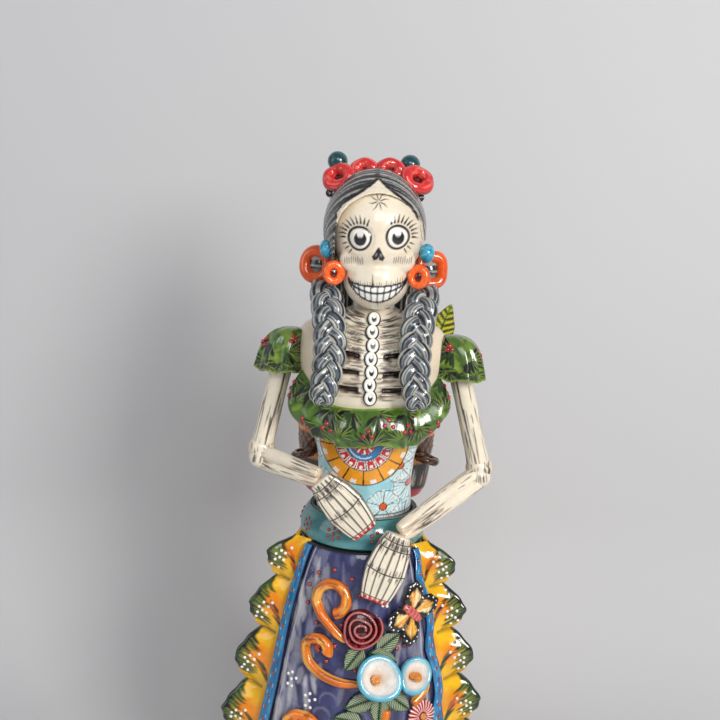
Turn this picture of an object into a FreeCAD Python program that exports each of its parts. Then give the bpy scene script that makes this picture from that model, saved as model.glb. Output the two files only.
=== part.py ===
"""Skeleton-lady figure in glazed clay: a hollow skirt with an oval waist socket, and an upper body that
lifts out of it. Millimetres, +Z up, the figure faces -Y, origin at the middle of the hem on the table."""

import FreeCAD
import Part

import math
import os
import re

import Sketcher
from FreeCAD import Placement, Rotation, Vector

# ---------------------------------------------------------------- driving dimensions
DIMENSIONS = [
    # skirt
    ("skirt_height", 300, "table to the deck that the upper body stands on"),
    ("deck_half_width", 55, "skirt at the deck, across"),
    ("deck_half_depth", 50, "skirt at the deck, front to back"),
    ("hem_half_width", 125, "skirt at the table, across"),
    ("hem_half_depth", 112, "skirt at the table, front to back"),
    ("skirt_wall", 7, "wall of the hollow skirt"),
    ("deck_thickness", 8, "closing deck at the waist"),
    ("vent_half_width", 34, "kiln vent through the deck, across"),
    ("vent_half_depth", 27, "kiln vent through the deck, front to back"),
    ("hem_band_height", 28, "rolled band round the hem"),
    ("hem_band_proud", 9, "how far the hem band stands out"),
    ("apron_thickness", 3, "slab over the front of the skirt"),
    ("apron_half_angle", 54, "degrees each side of the front"),
    ("ribbon_thickness", 3, "strip over the apron's edge"),
    ("ribbon_sweep", 8, "degrees of skirt that a ribbon covers"),
    # waist joint
    ("band_height", 26, "waistband, deck to rim"),
    ("spigot_half_width", 43, "plug under the bodice, across"),
    ("spigot_half_depth", 36, "plug under the bodice, front to back"),
    ("spigot_length", 27, "plug held inside the waistband"),
    ("spigot_clearance", 0.4, "gap round the plug"),
    # trunk
    ("bodice_height", 110, "deck to the chest"),
    ("chest_height", 93, "bodice to the foot of the neck"),
    ("bust_half_width", 54, "where chest and bodice meet, across"),
    ("bust_half_depth", 43, "where chest and bodice meet, front to back"),
    ("slip_layer", 0.2, "slip between a sleeve and the arm bone in it"),
    ("trunk_wall", 6, "wall of the hollow trunk"),
    ("rib_slot_height", 4.5, "open slot between two ribs"),
    ("rib_slot_width", 24, "open slot between two ribs"),
    ("rib_slot_pitch", 14.5, "from one slot to the next"),
    ("neck_radius", 18, "neck tube outside"),
    ("neck_bore", 11, "neck tube inside"),
    ("neck_length", 62, "neck tube with both of its tenons"),
    ("bead_radius", 4.6, "one vertebra of the row down the chest"),
    # head
    ("skull_half_width", 40, "cranium across"),
    ("skull_half_depth", 44, "cranium front to back"),
    ("skull_half_height", 46, "cranium up and down"),
    ("skull_height", 573, "middle of the cranium above the table"),
    ("jaw_radius", 28, "jaw"),
    ("skull_wall", 9, "wall of the hollow skull"),
    ("hair_thickness", 5, "hair over the cranium"),
    ("ear_plug_radius", 8, "turquoise ball at the ear"),
    ("ear_ring_radius", 6.5, "ear ring to the middle of its roll"),
    ("ear_ring_roll", 3.6, "roll of the ear ring"),
    ("hair_tie_radius", 11, "orange tie to the middle of its roll"),
    ("hair_tie_roll", 5.5, "roll of the orange tie"),
    ("loop_roll", 5.4, "roll of the red ribbon loops"),
    ("berry_radius", 8.5, "green ball between the loops"),
    ("braid_lobe_width", 9.5, "one turn of a plait, half across"),
    ("braid_lobe_length", 14, "one turn of a plait, half along"),
    # blouse and arms
    ("ruffle_thickness", 5, "clay of the blouse ruffle"),
    ("sleeve_half_width", 22, "sleeve puff"),
    ("sleeve_half_depth", 20, "sleeve puff"),
    ("sleeve_half_height", 19, "sleeve puff"),
    ("arm_radius", 10.5, "upper arm bone"),
    ("tenon_radius", 7, "shoulder tenon"),
    ("elbow_radius", 12, "knob of the elbow"),
    ("forearm_bone", 6.5, "each of the two forearm bones"),
    ("hand_half_width", 18, "hand at the knuckles"),
    ("hand_half_thickness", 5, "hand at the knuckles"),
    # back basket
    ("basket_half_width", 66, "basket across"),
    ("basket_half_depth", 35, "basket front to back"),
    ("basket_bottom", 302, "foot of the basket above the table"),
    ("basket_height", 124, "foot to rim"),
    ("basket_wall", 5, "wall of the basket"),
    ("basket_centre", 79, "middle of the basket behind the figure's axis"),
    # appliques
    ("flounce_lobe_length", 31, "half height of one scallop of the side flounce"),
    ("flounce_lobe_width", 21, "how far a scallop stands out, half"),
    ("flounce_lobe_depth", 9, "half thickness of a scallop"),
    ("scroll_roll", 4.6, "rolled clay scroll"),
    ("rose_radius", 16.5, "rolled rose"),
    ("rose_height", 12, "rolled rose"),
    ("daisy_radius", 14, "pressed daisy"),
    ("leaf_length", 24, "pressed leaf"),
    ("leaf_width", 12, "pressed leaf"),
    ("leaf_thickness", 4, "pressed leaf"),
    ("lily_mouth", 16, "calla lily's mouth radius"),
    ("lily_depth", 17, "calla lily's depth"),
    ("lily_wall", 2.5, "calla lily's spathe"),
    ("wing_length", 15, "butterfly wing, half"),
    ("wing_width", 10, "butterfly wing, half"),
    ("wing_thickness", 3, "butterfly wing, half"),
]
FLARE = 0.75                                   # the skirt widens with the depth below the deck to this power
FLARE_STEPS = (1.0, 0.72, 0.48, 0.28, 0.13, 0.04, 0.0)   # shares of the skirt's height, hem first

doc = FreeCAD.newDocument("Catrina")
sheet = doc.addObject("Spreadsheet::Sheet", "Dimensions")
for row, (alias, number, meaning) in enumerate(DIMENSIONS, 1):
    sheet.set(f"A{row}", meaning)
    sheet.set(f"B{row}", str(number))
    sheet.setAlias(f"B{row}", alias)
doc.recompute()
ALIASES = {alias for alias, _, _ in DIMENSIONS}
parts = []                                     # the finished sub-parts, in the order they are made


def size(alias):
    """A driving dimension as a number, read from the sheet."""
    return float(sheet.get(alias))


def bind(obj, **expressions):
    """Binds properties to the sheet: bare dimension names in an expression mean the sheet's cells."""
    for prop, text in expressions.items():
        full = re.sub(r"[a-z_]+", lambda m: "Dimensions." + m[0] if m[0] in ALIASES else m[0], str(text))
        obj.setExpression(prop, full)
    return obj


def made(kind, name, **expressions):
    obj = doc.addObject(kind, name)
    return bind(obj, **expressions)


def place(obj, at, towards=None, turn=0.0):
    """Puts obj at a point, with its own Z axis along towards, after a turn about that axis."""
    spin = Rotation(Vector(0, 0, 1), turn)
    lean = Rotation(Vector(0, 0, 1), Vector(*towards)) if towards is not None else Rotation()
    obj.Placement = Placement(Vector(*at), lean * spin)
    return obj


def keep(obj, label):
    """Marks obj as a finished sub-part with its own label."""
    obj.Label = label
    parts.append(obj)
    return obj


def cut(base, tool, name):
    obj = doc.addObject("Part::Cut", name)
    obj.Base, obj.Tool = base, tool
    return obj


def cut_all(base, tools, name):
    for number, tool in enumerate(tools):
        base = cut(base, tool, f"{name}_cut{number}")
    return base


def fuse(shapes, name):
    obj = doc.addObject("Part::MultiFuse", name)
    obj.Shapes = shapes
    return obj


def common(one, other, name):
    obj = doc.addObject("Part::Common", name)
    obj.Base, obj.Tool = one, other
    return obj


def group(shapes, label):
    """Like pieces that share one node, as separate solids."""
    obj = doc.addObject("Part::Compound", label)
    obj.Links = shapes
    return keep(obj, label)


def oval(name, height, half_width, half_depth, y=0.0, deep=False):
    """A horizontal oval as a loft section; deep when it is longer front to back than across."""
    wide, narrow = (half_depth, half_width) if deep else (half_width, half_depth)
    obj = made("Part::Ellipse", name, MajorRadius=wide, MinorRadius=narrow)
    obj.Placement = Placement(Vector(0, y, 0), Rotation(Vector(0, 0, 1), 90 if deep else 0))
    return bind(obj, **{"Placement.Base.z": height})


def loft(name, ovals, ruled=False):
    """A solid through ovals given as (height, half width, half depth[, y[, deep]])."""
    obj = doc.addObject("Part::Loft", name)
    obj.Sections = [oval(f"{name}_oval{n}", *section) for n, section in enumerate(ovals)]
    obj.Solid, obj.Ruled = True, ruled
    return obj


def ball(name, half_width, half_depth, half_height, at, towards=None, turn=0.0):
    obj = made("Part::Ellipsoid", name, Radius1=half_height, Radius2=half_width, Radius3=half_depth)
    obj.Angle1, obj.Angle2, obj.Angle3 = -90, 90, 360
    return place(obj, at, towards, turn)


def rod(name, start, end, radius, end_radius=None):
    """A straight round or tapered bar between two points."""
    along = Vector(*end) - Vector(*start)
    if end_radius is None:
        obj = made("Part::Cylinder", name, Radius=radius)
    else:
        obj = made("Part::Cone", name, Radius1=radius, Radius2=end_radius)
    obj.Height = along.Length
    return place(obj, start, tuple(along))


def box(name, low, high):
    obj = doc.addObject("Part::Box", name)
    obj.Length, obj.Width, obj.Height = (high[k] - low[k] for k in range(3))
    return place(obj, low)


def origin_plane(body, role):
    return next(f for f in body.Origin.OriginFeatures if f.Role == role)


def sketch(body, name, role):
    obj = body.newObject("Sketcher::SketchObject", name)
    obj.AttachmentSupport = [(origin_plane(body, role), "")]
    obj.MapMode = "FlatFace"
    return obj


# ---------------------------------------------------------------- the skirt's surface
def flare(height):
    """How far the skirt has widened at a height: 0 at the deck, 1 at the table."""
    return max(0.0, 1.0 - height / size("skirt_height")) ** FLARE


def skirt_point(degrees, height, lift=0.0):
    """A point on the skirt, degrees to the figure's left of the front, standing lift off the clay."""
    wide = size("deck_half_width") + (size("hem_half_width") - size("deck_half_width")) * flare(height)
    deep = size("deck_half_depth") + (size("hem_half_depth") - size("deck_half_depth")) * flare(height)
    angle = math.radians(degrees)
    return Vector((wide + lift) * math.sin(angle), -(deep + lift) * math.cos(angle), height)


def skirt_frame(degrees, height):
    """Across, up and outward directions of the skirt's surface at a point."""
    across = (skirt_point(degrees + 1, height) - skirt_point(degrees - 1, height)).normalize()
    up = (skirt_point(degrees, height + 2) - skirt_point(degrees, height - 2)).normalize()
    out = across.cross(up).normalize()
    return across, out.cross(across).normalize(), out


def seat(obj, degrees, height, lift=0.0, turn=0.0):
    """Seats a piece on the skirt with its Z axis outward, turned in the surface."""
    across, up, out = skirt_frame(degrees, height)
    lie = Rotation(across, up, out, "ZXY")
    at = skirt_point(degrees, height) + out * lift
    obj.Placement = Placement(at, lie * Rotation(Vector(0, 0, 1), turn))
    return obj


def skirt_loft(name, offset, top="skirt_height"):
    """The skirt's outline as a solid, grown by an offset."""
    ovals = []
    for share in FLARE_STEPS:
        widened = share ** FLARE
        ovals.append((
            f"{top} * {1 - share}",
            f"deck_half_width + (hem_half_width - deck_half_width) * {widened} + ({offset})",
            f"deck_half_depth + (hem_half_depth - deck_half_depth) * {widened} + ({offset})",
        ))
    return loft(name, ovals)


def sector(name, start, end, low, high):
    """A wedge of space between two angles from the front and two heights."""
    reach = 400.0
    corners = [Vector(0, 0, low)]
    for degrees in (start, (start + end) / 2, end):
        angle = math.radians(degrees)
        corners.append(Vector(reach * math.sin(angle), -reach * math.cos(angle), low))
    face = Part.Face(Part.makePolygon(corners + corners[:1]))
    obj = doc.addObject("Part::Feature", name)
    obj.Shape = face.extrude(Vector(0, 0, high - low))
    return obj


def make_skirt():
    outline = skirt_loft("skirt_outline", "0")
    hollow = skirt_loft("skirt_hollow", "-skirt_wall", "(skirt_height - deck_thickness)")
    vent = loft("deck_vent", [
        ("skirt_height - 20", "vent_half_width", "vent_half_depth"),
        ("skirt_height + 10", "vent_half_width", "vent_half_depth"),
    ])
    keep(cut(cut(outline, hollow, "skirt_open"), vent, "skirt_vented"), "skirt_shell")

    band = loft("hem_band_outline", [
        ("0", "hem_half_width + hem_band_proud * 0.8", "hem_half_depth + hem_band_proud * 0.8"),
        ("hem_band_height * 0.4", "hem_half_width + hem_band_proud", "hem_half_depth + hem_band_proud"),
        ("hem_band_height", "hem_half_width + hem_band_proud * 0.3",
         "hem_half_depth + hem_band_proud * 0.3"),
    ])
    keep(cut(band, outline, "hem_band_ring"), "hem_band")

    on_top = skirt_loft("apron_outline", "apron_thickness")
    over = skirt_loft("ribbon_outline", "apron_thickness + ribbon_thickness")
    low, high = size("hem_band_height"), size("skirt_height")
    edge = size("apron_half_angle")
    slab = cut(on_top, outline, "apron_layer")
    keep(common(slab, sector("apron_sector", -edge, edge, low, high), "apron_slab"), "apron")
    strip = cut(over, on_top, "ribbon_layer")
    inner, outer = edge - size("ribbon_sweep"), edge - 0.2
    for side, sign in (("left", -1), ("right", 1)):
        wedge = sector(f"ribbon_sector_{side}", sign * inner, sign * outer, low, high)
        ribbon = keep(common(strip, wedge, f"ribbon_strip_{side}"), f"ribbon_{side}")
    return on_top, over, ribbon


def make_waistband():
    """The oval socket that the upper body's plug drops into."""
    rise = [(0, -0.5, 0), (0.3, 1, 0.5), (0.7, -1.5, -2.5), (1.0, -6.5, -8)]
    collar = loft("waistband_outline", [
        (f"skirt_height + band_height * {up}", f"deck_half_width + {wide}", f"deck_half_depth + {deep}")
        for up, wide, deep in rise
    ])
    socket = loft("waistband_socket", [
        (f"skirt_height + {up}", "spigot_half_width + spigot_clearance",
         "spigot_half_depth + spigot_clearance")
        for up in (-5, 60)
    ])
    keep(cut(collar, socket, "waistband_ring"), "waistband")
    return collar


def make_flounces(over, collar):
    """Scalloped flounces that run down both sides of the skirt, one fused run of scallops each."""
    runs = {
        "left": [(-70, 288, 0.8), (-68, 240, 1), (-68, 191, 1), (-68, 139, 1), (-68, 88, 1), (-68, 42, 1)],
        "right": [(70, 284, 0.74), (69, 244, 0.84), (68, 202, 0.84), (68, 159, 0.84), (68, 116, 0.84),
                  (68, 74, 0.84), (68, 38, 0.84)],
    }
    for side, seats in runs.items():
        lobes = []
        for number, (degrees, height, share) in enumerate(seats):
            lobe = ball(f"scallop_{side}_{number}", "flounce_lobe_depth", f"flounce_lobe_length * {share}",
                        "flounce_lobe_width", (0, 0, 0))
            lobes.append(seat(lobe, degrees, height, lift=9.0))
        run = fuse(lobes, f"flounce_run_{side}")
        floor = box(f"flounce_floor_{side}", (-200, -200, -50), (200, 200, size("hem_band_height")))
        keep(cut_all(run, [over, floor, collar], f"flounce_{side}"), f"flounce_{side}")


def press_on(obj, cutters, label):
    """An applique, flattened underneath where it is pressed onto the pieces below it."""
    return keep(cut_all(obj, cutters, f"{label}_pressed"), label)


def clay_roll(name, stations, radius):
    """A roll of clay laid on the skirt through (degrees, height) stations, with rounded ends."""
    on_clay = size("apron_thickness") + radius * 0.55
    points = [skirt_point(degrees, height, on_clay) for degrees, height in stations]
    curve = Part.BSplineCurve()
    curve.interpolate(points)
    spine = Part.Wire([curve.toShape()])
    start = curve.tangent(curve.FirstParameter)[0]
    rim = Part.Wire([Part.Circle(points[0], start, radius).toShape()])
    roll = spine.makePipeShell([rim], True, True)
    for end in (points[0], points[-1]):
        roll = roll.fuse(Part.makeSphere(radius, end))
    obj = doc.addObject("Part::Feature", f"{name}_roll")
    obj.Shape = roll.removeSplitter()
    return obj


def arc_stations(centre, radius, start, end, count, squeeze=1.0):
    """Stations round a circle drawn on the skirt: centre (degrees, height), radius in mm."""
    stations = []
    for step in range(count):
        angle = math.radians(start + (end - start) * step / (count - 1))
        degrees, height = centre
        spread = math.degrees(radius * squeeze * math.cos(angle) / (size("deck_half_width") + 14))
        stations.append((degrees + spread, height + radius * math.sin(angle)))
    return stations


def make_scrolls(on_top, rose, stem_cutters):
    roll = size("scroll_roll")
    rolls = {
        "scroll_loop": (arc_stations((-18.5, 262), 12.5, -75, 215, 9), [(-22, 247), (-13, 236), (-6, 228.5)]),
        "scroll_hook": (arc_stations((-23.5, 219), 8.5, -25, 180, 6),
                        [(-27, 207), (-18, 198.5), (-7, 194), (4, 194)]),
        "scroll_low": (arc_stations((-26, 151), 9.5, -30, 185, 6),
                       [(-29, 134), (-18, 122), (-6, 117), (6, 119)]),
    }
    for label, (curl, tail) in rolls.items():
        under = [on_top] + ([rose] if label == "scroll_loop" else [])
        press_on(clay_roll(label, curl + tail, roll), under, label)
    upper = clay_roll("stem_upper", [(40, 190), (40.5, 185), (37, 178.5), (31, 172.5)], roll * 0.9)
    lower = clay_roll("stem_lower", [(17, 172), (15, 160), (8, 146), (9, 130)], roll * 0.9)
    stems = [cut_all(stem, stem_cutters, f"{stem.Label}_pressed") for stem in (upper, lower)]
    return group(stems, "stems")


def make_rose(label, degrees, height, cutters):
    """A rolled rose: petals wound round a raised heart, turned as one shape."""
    body = doc.addObject("PartDesign::Body", f"{label}_body")
    profile = sketch(body, f"{label}_profile", "XZ_Plane")
    radius, tall = size("rose_radius"), size("rose_height")
    outline = [(0, 0), (radius * 0.8, 0), (radius, tall * 0.45), (radius * 0.9, tall * 0.75),
               (radius * 0.66, tall * 0.6), (radius * 0.52, tall * 0.95), (radius * 0.3, tall * 0.75),
               (radius * 0.14, tall), (0, tall)]
    for (x0, y0), (x1, y1) in zip(outline, outline[1:] + outline[:1]):
        profile.addGeometry(Part.LineSegment(Vector(x0, y0, 0), Vector(x1, y1, 0)))
    revolution = body.newObject("PartDesign::Revolution", f"{label}_turned")
    revolution.Profile = profile
    revolution.ReferenceAxis = (profile, ["V_Axis"])
    revolution.Angle = 360
    seat(body, degrees, height, size("apron_thickness") - 2.0)
    return press_on(body, cutters, label)


def make_daisy(label, degrees, height, cutters):
    """A pressed daisy: a button with petals patterned round it."""
    body = doc.addObject("PartDesign::Body", f"{label}_body")
    button = sketch(body, f"{label}_button", "XY_Plane")
    button.addGeometry(Part.Circle(Vector(0, 0, 0), Vector(0, 0, 1), 6))
    button.addConstraint(Sketcher.Constraint("Radius", 0, 6))
    bind(button, **{"Constraints[0]": "daisy_radius * 0.45"})
    heart = body.newObject("PartDesign::Pad", f"{label}_heart")
    heart.Profile, heart.Length = button, 7
    petal = sketch(body, f"{label}_petal", "XY_Plane")
    petal.addGeometry(Part.Circle(Vector(9, 0, 0), Vector(0, 0, 1), 4.4))
    petal.addConstraint(Sketcher.Constraint("Radius", 0, 4.4))
    petal.addConstraint(Sketcher.Constraint("DistanceX", -1, 1, 0, 3, 9))
    bind(petal, **{"Constraints[0]": "daisy_radius * 0.32", "Constraints[1]": "daisy_radius * 0.68"})
    first = body.newObject("PartDesign::Pad", f"{label}_first_petal")
    first.Profile, first.Length = petal, 5
    doc.recompute()
    ring = body.newObject("PartDesign::PolarPattern", f"{label}_petals")
    ring.Originals = [first]
    ring.Axis = (button, ["N_Axis"])
    ring.Angle, ring.Occurrences = 360, 9
    body.Tip = ring
    seat(body, degrees, height, size("apron_thickness") - 1.5)
    return press_on(body, cutters, label)


def leaf(name, length="leaf_length", width="leaf_width"):
    """A pointed leaf along its own X axis: where two round discs overlap."""
    radius = f"(({length}) * ({length}) + ({width}) * ({width})) / (4 * ({width}))"
    discs = []
    for sign in (-1, 1):
        disc = made("Part::Cylinder", f"{name}_disc{sign + 1}", Radius=radius, Height="leaf_thickness")
        bind(disc, **{"Placement.Base.y": f"{sign} * ({radius} - ({width}) / 2)"})
        discs.append(disc)
    return common(discs[0], discs[1], name)


def make_leaves(cutters):
    settings = {
        "rose_leaves": [(-1, 216, 235), (18, 228.5, 35), (15, 216, -20)],
        "lily_leaves": [(3, 178, 200), (13, 173, 265), (23, 178, 320), (-2, 163, 170)],
    }
    for label, seats in settings.items():
        leaves = []
        for number, (degrees, height, turn) in enumerate(seats):
            blade = leaf(f"{label}_{number}")
            leaves.append(seat(blade, degrees, height, size("apron_thickness") - 0.8 - number * 0.25, turn))
        press_on(fuse(leaves, label + "_spray"), cutters[label], label)


def make_butterfly(cutters):
    """A butterfly on the apron: four wings in one slab and a ringed body over them."""
    spot, lean = (34.5, 251), -44
    wings = []
    for number, (along, across, turn, grow) in enumerate([
            (5, 9, 62, 1.0), (5, -9, -62, 1.0), (-5, 8, 118, 0.8), (-5, -8, -118, 0.8)]):
        wing = ball(f"wing_{number}", f"wing_length * {grow}", f"wing_width * {grow}", "wing_thickness",
                    (0, 0, 0))
        seat(wing, *spot, lift=size("apron_thickness") + 1.0, turn=lean)
        step = wing.Placement.Rotation.multVec(Vector(along, across, 0))
        wing.Placement = Placement(wing.Placement.Base + step,
                                   wing.Placement.Rotation * Rotation(Vector(0, 0, 1), turn))
        wings.append(wing)
    wings = press_on(fuse(wings, "wings"), cutters, "butterfly_wings")
    trunk = ball("butterfly_trunk", "wing_length * 0.8", "wing_width * 0.36", "wing_thickness * 1.2",
                 (0, 0, 0))
    seat(trunk, *spot, lift=size("apron_thickness") + 5.2, turn=lean)
    press_on(trunk, [wings], "butterfly_body")


def make_lily(label, at, towards, grow=1.0):
    """A calla lily: a hollow spathe turned from a tapered profile."""
    cup = made("Part::Cone", f"{label}_cup", Radius1=f"lily_mouth * {grow} * 0.18",
               Radius2=f"lily_mouth * {grow}", Height=f"lily_depth * {grow}")
    well = made("Part::Cone", f"{label}_well", Radius1=f"lily_mouth * {grow} * 0.18 - 1.2",
                Radius2=f"lily_mouth * {grow} - lily_wall", Height=f"lily_depth * {grow} - lily_wall")
    well.Placement = Placement(Vector(0, 0, size("lily_wall") + 0.01), Rotation())
    spathe = cut(cup, well, label)
    place(spathe, at, towards)
    return spathe


def make_lilies(on_top):
    spadices = []
    for label, degrees, height, grow in (("lily_left", 11.5, 197, 1.05), ("lily_right", 31.5, 195, 0.9)):
        across, up, out = skirt_frame(degrees, height)
        aim = out * 0.93 + up * 0.36
        foot = skirt_point(degrees, height) + out * (size("apron_thickness") - 1.0)
        press_on(make_lily(f"{label}_spathe", tuple(foot), tuple(aim), grow), [on_top], label)
        heart = ball(f"{label}_spadix", "2.6", "2.6", "6.5", tuple(foot + aim * 10.0), tuple(aim))
        spadices.append(heart)
    group(spadices, "lily_spadices")


# ---------------------------------------------------------------- trunk
def bodice_ovals(offset, low="skirt_height + spigot_length"):
    return [
        (low, f"spigot_half_width + ({offset})", f"spigot_half_depth + ({offset})"),
        ("skirt_height + 46", f"spigot_half_width - 1.5 + ({offset})",
         f"spigot_half_depth - 0.5 + ({offset})"),
        ("skirt_height + 76", f"spigot_half_width + 0.5 + ({offset})", f"spigot_half_depth + 2 + ({offset})"),
        ("skirt_height + bodice_height", f"bust_half_width + ({offset})", f"bust_half_depth + ({offset})"),
    ]


def chest_ovals(offset):
    """Rows of (share of the chest's height, across and front-to-back as shares of the bust)."""
    rows = [(0, 1, 1), (0.22, 1.09, 1.05), (0.48, 1.2, 1.03), (0.69, 1.22, 0.88), (0.84, 1.1, 0.7),
            (0.94, 0.78, 0.56), (1.0, 0.46, 0.47)]
    return [(f"skirt_height + bodice_height + chest_height * {up}",
             f"bust_half_width * {across} + ({offset})",
             f"bust_half_depth * {deep} + ({offset})") for up, across, deep in rows]


def make_trunk():
    plug = loft("spigot", [
        ("skirt_height", "spigot_half_width", "spigot_half_depth"),
        ("skirt_height + spigot_length", "spigot_half_width", "spigot_half_depth"),
    ])
    plug_bore = loft("spigot_bore", [
        ("skirt_height - 1", "spigot_half_width - trunk_wall", "spigot_half_depth - trunk_wall"),
        ("skirt_height + spigot_length", "spigot_half_width - trunk_wall", "spigot_half_depth - trunk_wall"),
    ])
    waist = loft("bodice_outline", bodice_ovals("0"))
    waist_bore = loft("bodice_hollow", bodice_ovals("-trunk_wall"))
    full = fuse([plug, waist], "bodice_solid")
    keep(cut_all(full, [plug_bore, waist_bore], "bodice"), "bodice")

    ribs = loft("chest_outline", chest_ovals("0"))
    inside = loft("chest_hollow", chest_ovals("-trunk_wall")[:-1])
    neck_foot = size("skirt_height") + size("bodice_height") + size("chest_height") - 22
    neck_top = neck_foot + size("neck_length")
    neck_hole = rod("neck_hole", (0, 0, neck_foot - 8), (0, 0, neck_top), "neck_radius")
    cutters = [inside, neck_hole]
    shoulder = neck_foot - 20
    for side, sign in (("left", -1), ("right", 1)):
        cutters.append(rod(f"tenon_hole_{side}", (sign * 45, 0, shoulder), (sign * 80, 0, shoulder),
                           "tenon_radius"))
    top_slot = neck_foot - 10
    for number in range(3):
        for side, sign in (("left", -1), ("right", 1)):
            middle = sign * (10 + size("rib_slot_width") / 2)
            slot = made("Part::Box", f"rib_slot_{side}_{number}", Length="rib_slot_width",
                        Height="rib_slot_height", Width="40")
            tip = Rotation(Vector(0, 1, 0), -sign * (9 - 4 * number))
            corner = Vector(-size("rib_slot_width") / 2, -65, -size("rib_slot_height") / 2)
            height = top_slot - number * size("rib_slot_pitch")
            slot.Placement = Placement(Vector(middle, 0, height) + tip.multVec(corner), tip)
            cutters.append(slot)
    keep(cut_all(ribs, cutters, "chest"), "chest")

    tube = doc.addObject("PartDesign::Body", "neck")
    ring = sketch(tube, "neck_section", "XY_Plane")
    for number, alias in enumerate(("neck_radius", "neck_bore")):
        ring.addGeometry(Part.Circle(Vector(0, 0, 0), Vector(0, 0, 1), size(alias)))
        ring.addConstraint(Sketcher.Constraint("Radius", number, size(alias)))
        bind(ring, **{f"Constraints[{number}]": alias})
    pad = tube.newObject("PartDesign::Pad", "neck_tube")
    pad.Profile = ring
    bind(pad, Length="neck_length")
    neck = keep(place(tube, (0, 0, neck_foot)), "neck")
    return waist, ribs, neck_foot, shoulder, neck


def make_spine(ribs, neck):
    """The row of vertebrae down the neck and breastbone, each pressed on as its own bead."""
    rows = [(-24.5, 499), (-30.5, 489), (-36, 478.5), (-40.7, 468), (-43.8, 457.5), (-45.8, 447),
            (-46.6, 436.5)]
    beads = []
    for number, (y, z) in enumerate(rows):
        bead = ball(f"vertebra_{number}", "bead_radius", "bead_radius * 0.6", "bead_radius * 1.2", (0, y, z))
        beads.append(cut_all(bead, [ribs, neck], f"vertebra_{number}"))
    group(beads, "spine_beads")


# ---------------------------------------------------------------- head
def make_head(neck_foot):
    centre = (0, -8, size("skull_height"))
    jaw_at = (0, -21, size("skull_height") - 40)
    cranium = ball("cranium", "skull_half_width", "skull_half_depth", "skull_half_height", centre)
    jaw = ball("jaw", "jaw_radius", "jaw_radius", "jaw_radius", jaw_at)
    head = fuse([cranium, jaw], "skull_solid")
    hollow = ball("skull_hollow", "skull_half_width - skull_wall", "skull_half_depth - skull_wall",
                  "skull_half_height - skull_wall", centre)
    top = neck_foot + size("neck_length")
    neck_hole = rod("skull_neck_hole", (0, 0, neck_foot), (0, 0, top), "neck_radius")
    keep(cut_all(head, [hollow, neck_hole], "skull"), "skull")

    cap = ball("hair_outline", "skull_half_width + hair_thickness - 2",
               "skull_half_depth + hair_thickness + 1",
               "skull_half_height + hair_thickness", (-3, -7, size("skull_height")))
    level = size("skull_height")
    brow = rod("face_window", (0, -90, level - 3), (0, -14, level - 3), "skull_half_width - 5")
    below = box("face_below", (-35, -90, level - 80), (35, -14, level))
    nape = box("hair_nape", (-60, -60, level - 80), (60, 60, level - 46))
    hair = keep(cut_all(cap, [head, brow, below, nape, neck_hole], "hair"), "hair")
    return head, cap, hair, level


def make_headdress(head, hair, level):
    """Red ribbon looped over the crown, with a band behind the head and two green berries."""
    loops = [("a", -35, 0, level + 41, 9.5, (-0.45, -0.75, 0.6)),
             ("b", -14, 1, level + 48.5, 6.5, (-0.1, -0.9, 0.35)),
             ("c", 8, 1, level + 49, 7.0, (0.1, -0.9, 0.35)),
             ("d", 30.5, 0, level + 42, 10.0, (0.45, -0.75, 0.6))]
    band = made("Part::Torus", "headband_ring", Radius1="skull_half_width + 4", Radius2="loop_roll * 0.65")
    band.Angle3 = 180
    band.Placement = Placement(Vector(-4, -2, level + 28), Rotation(Vector(1, 0, 0), -12))
    under = [head, hair, press_on(band, [hair], "headband")]
    for side, x in (("left", -37), ("right", 24.5)):
        berry = ball(f"berry_{side}_ball", "berry_radius", "berry_radius", "berry_radius",
                     (x, 12, level + 54))
        under.append(press_on(berry, [hair], f"berry_{side}"))
    for name, x, y, z, ring, aim in loops:
        loop = made("Part::Torus", f"ribbon_loop_{name}_ring", Radius2="loop_roll")
        loop.Radius1 = ring
        under.append(press_on(place(loop, (x, y, z), aim), list(under), f"ribbon_loop_{name}"))


def make_ears(head, hair, level):
    ties = []
    for side, sign in (("left", -1), ("right", 1)):
        plug = ball(f"ear_plug_{side}_ball", "ear_plug_radius * 0.8", "ear_plug_radius", "ear_plug_radius",
                    (sign * 41.6, -20.4, level - 16.7))
        plug = press_on(plug, [hair, head], f"ear_plug_{side}")
        ring = made("Part::Torus", f"ear_ring_{side}_roll", Radius1="ear_ring_radius",
                    Radius2="ear_ring_roll")
        place(ring, (sign * 35, -34, level - 35), (sign * -0.25, -1, 0.1))
        press_on(ring, [head, plug], f"ear_ring_{side}")
        tie = made("Part::Torus", f"hair_tie_{side}_roll", Radius1="hair_tie_radius", Radius2="hair_tie_roll")
        place(tie, (sign * 49 - 2, 6, level - 34), (sign * 0.3, -1, 0.15))
        ties.append(tie)
    return ties


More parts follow.
